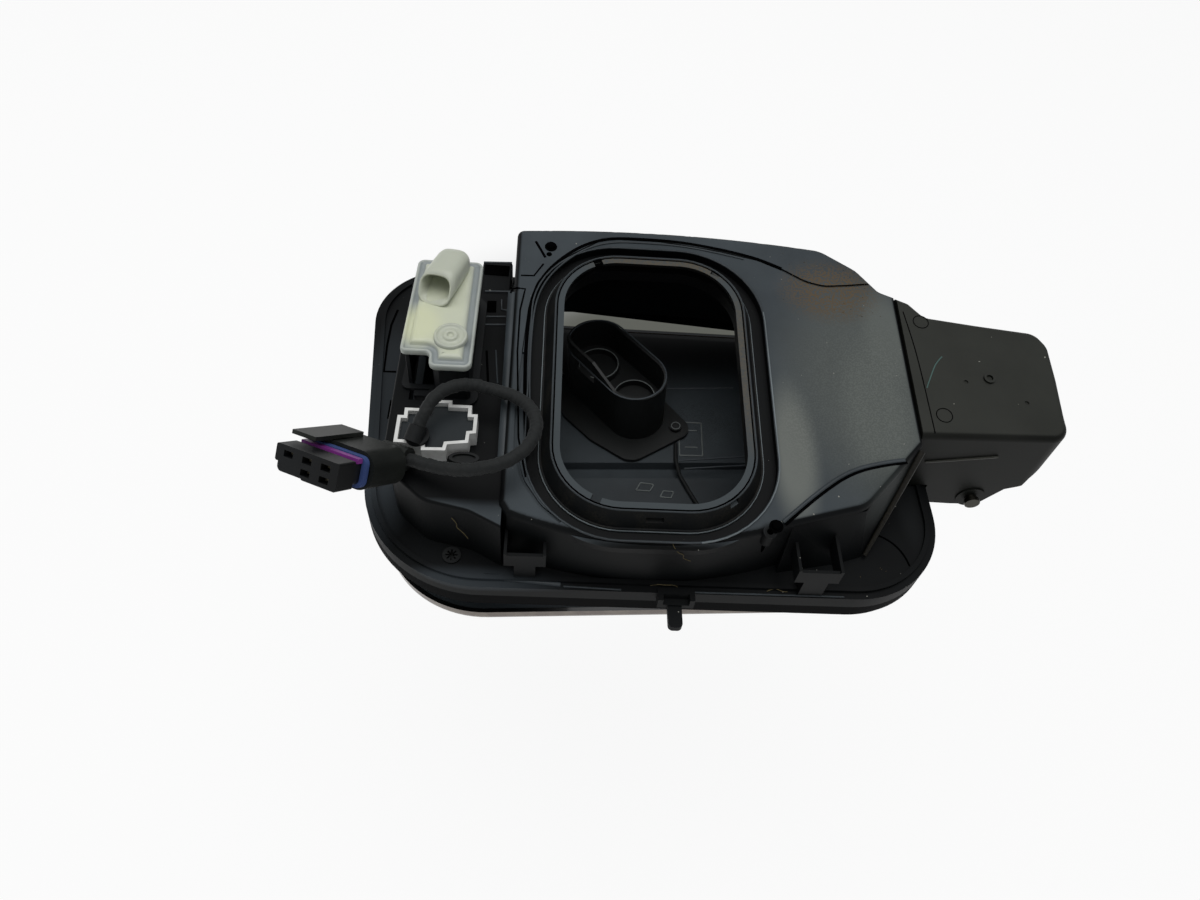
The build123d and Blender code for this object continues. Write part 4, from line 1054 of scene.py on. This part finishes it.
class MODULE_OT_metals(bpy.types.Operator):
    """Finishes the painted skin, the steel and the contacts"""
    bl_idname = "flap_module.metals"
    bl_label = "Metal pieces"

    def execute(self, context):
        steel = zinc_steel()
        for name in ("hinge_pin", "arm_screws", "lock_pin"):
            dress(name, steel)
        dress("flap_skin", coach_paint())
        dress("contacts", plated_contact())
        return {"FINISHED"}


class MODULE_OT_lead(bpy.types.Operator):
    """Makes the taped lead from the cable gland to its plug"""
    bl_idname = "flap_module.lead"
    bl_label = "Taped lead"

    def execute(self, context):
        sizes = context.scene.flap_module_sizes
        curve = bpy.data.curves.new("lead_line", "CURVE")
        curve.dimensions = "3D"
        spline = curve.splines.new("NURBS")
        spline.points.add(len(LEAD_ROUTE) - 1)
        for point, place in zip(spline.points, LEAD_ROUTE):
            point.co = (*place, 1.0)
        spline.order_u = 3
        spline.use_endpoint_u = True
        spline.resolution_u = 24
        line = bpy.data.objects.new("lead_line", curve)
        read = bpy.data.meshes.new_from_object(line)
        route = [vertex.co.copy() for vertex in read.vertices]
        bpy.data.meshes.remove(read)
        bpy.data.objects.remove(line)
        lead = wound_tube("taped_lead", route, sizes.lead_diameter / 2, sizes.tape_lap)
        context.scene.collection.objects.link(lead)
        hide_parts("pigtail")
        finish_piece(lead, textile_tape(), "housing")
        return {"FINISHED"}


class MODULE_OT_stage(bpy.types.Operator):
    """Makes the floor, the lights and the camera"""
    bl_idname = "flap_module.stage"
    bl_label = "Stage"

    def execute(self, context):
        scene = context.scene
        scene.view_settings.view_transform = "Standard"
        reach = scene.flap_module_sizes.floor_reach
        mesh = bpy.data.meshes.new("floor")
        corners = [(x * reach, y * reach, FLOOR_LEVEL) for x, y in ((-1, -1), (1, -1), (1, 1), (-1, 1))]
        mesh.from_pydata(corners, [], [(0, 1, 2, 3)])
        floor = bpy.data.objects.new("floor", mesh)
        scene.collection.objects.link(floor)
        material, tree, shader, place = fresh("pale floor")
        core, edge = (patch(tree, place, SHADE_CENTRE, reach) for reach in (SHADE_CORE, SHADE_EDGE))
        pale = (*scene.flap_module_colours.floor, 1.0)
        feed(tree, shader, {"Base Color": laid_over(tree, pale, tone("#66675f"), core), "Roughness": 0.8})
        # outside the shade the floor glows for the camera, and in mirrored and refracted views
        glow = put(tree, "ShaderNodeEmission", {"Color": tone("#ffffff"), "Strength": 1.0})
        ways = put(tree, "ShaderNodeLightPath").outputs
        seen = ways["Is Camera Ray"]
        for way in ("Is Glossy Ray", "Is Transmission Ray"):
            seen = put(tree, "ShaderNodeMath", {0: seen, 1: ways[way]}, operation="MAXIMUM").outputs[0]
        share = put(tree, "ShaderNodeMath", {0: 1.0, 1: edge}, operation="SUBTRACT").outputs[0]
        for factor in (seen, FLOOR_GLOW):
            share = put(tree, "ShaderNodeMath", {0: share, 1: factor}, operation="MULTIPLY").outputs[0]
        mix = put(tree, "ShaderNodeMixShader", {0: share, 1: shader.outputs[0], 2: glow.outputs[0]})
        tree.links.new(mix.outputs[0], tree.nodes["Material Output"].inputs["Surface"])
        mesh.materials.append(material)

        world = bpy.data.worlds.new("studio")
        scene.world = world
        world.use_nodes = True
        feed(world.node_tree, world.node_tree.nodes["Background"], {"Color": tone("#eef1f3"), "Strength": 0.42})

        lamps = [
            ("soft_top", (0.0, 0.15, 1.6), (0.0, 0.0, 0.0), 1.6, 15.0),
            ("soft_left", (-1.3, 0.2, 1.0), (0.0, 0.0, 0.0), 0.8, 2.5),
        ]
        for name, place, target, size, power in lamps:
            light = bpy.data.lights.new(name, "AREA")
            light.shape = "DISK"
            light.size = size
            light.energy = power
            lamp = bpy.data.objects.new(name, light)
            lamp.location = place
            lamp.rotation_euler = (Vector(target) - Vector(place)).to_track_quat("-Z", "Y").to_euler()
            scene.collection.objects.link(lamp)

        lens = bpy.data.cameras.new("camera")
        lens.sensor_width = 36.0
        lens.lens = CAMERA_LENS
        lens.clip_start = 0.01
        camera = bpy.data.objects.new("camera", lens)
        right = Vector(CAMERA_RIGHT).normalized()
        ahead = Vector(CAMERA_AHEAD).normalized()
        up = right.cross(ahead).normalized()
        right = ahead.cross(up)
        turn = Matrix((right, up, -ahead)).transposed()
        camera.matrix_world = Matrix.Translation(CAMERA_PLACE) @ turn.to_4x4()
        scene.collection.objects.link(camera)
        scene.camera = camera
        return {"FINISHED"}


class MODULE_PT_pieces(bpy.types.Panel):
    """Shows one button for each operator, in the order in which they run"""
    bl_label = "Flap module"
    bl_idname = "MODULE_PT_pieces"
    bl_space_type = "VIEW_3D"
    bl_region_type = "UI"
    bl_category = "Flap module"

    def draw(self, context):
        layout = self.layout
        layout.prop(context.scene.flap_module_sizes, "lead_diameter")
        layout.prop(context.scene.flap_module_colours, "floor")
        for operator in OPERATORS:
            layout.operator(operator.bl_idname)


OPERATORS = (
    MODULE_OT_stage,
    MODULE_OT_lead,
    MODULE_OT_mouldings,
    MODULE_OT_moulded_lines,
    MODULE_OT_bracket,
    MODULE_OT_liner_lines,
    MODULE_OT_rubbers,
    MODULE_OT_clear_parts,
    MODULE_OT_metals,
    MODULE_OT_dirt,
)
CLASSES = (FlapModuleSizes, FlapModuleColours, *OPERATORS, MODULE_PT_pieces)


def register():
    """Registers the add-on's classes and its sizes and colours."""
    for item in CLASSES:
        bpy.utils.register_class(item)
    bpy.types.Scene.flap_module_sizes = bpy.props.PointerProperty(type=FlapModuleSizes)
    bpy.types.Scene.flap_module_colours = bpy.props.PointerProperty(type=FlapModuleColours)


def unregister():
    """Takes the add-on out again."""
    del bpy.types.Scene.flap_module_colours
    del bpy.types.Scene.flap_module_sizes
    for item in reversed(CLASSES):
        bpy.utils.unregister_class(item)


def main():
    """Runs every operator."""
    register()
    for operator in OPERATORS:
        family, name = operator.bl_idname.split(".")
        getattr(getattr(bpy.ops, family), name)()


if __name__ == "__main__":
    main()
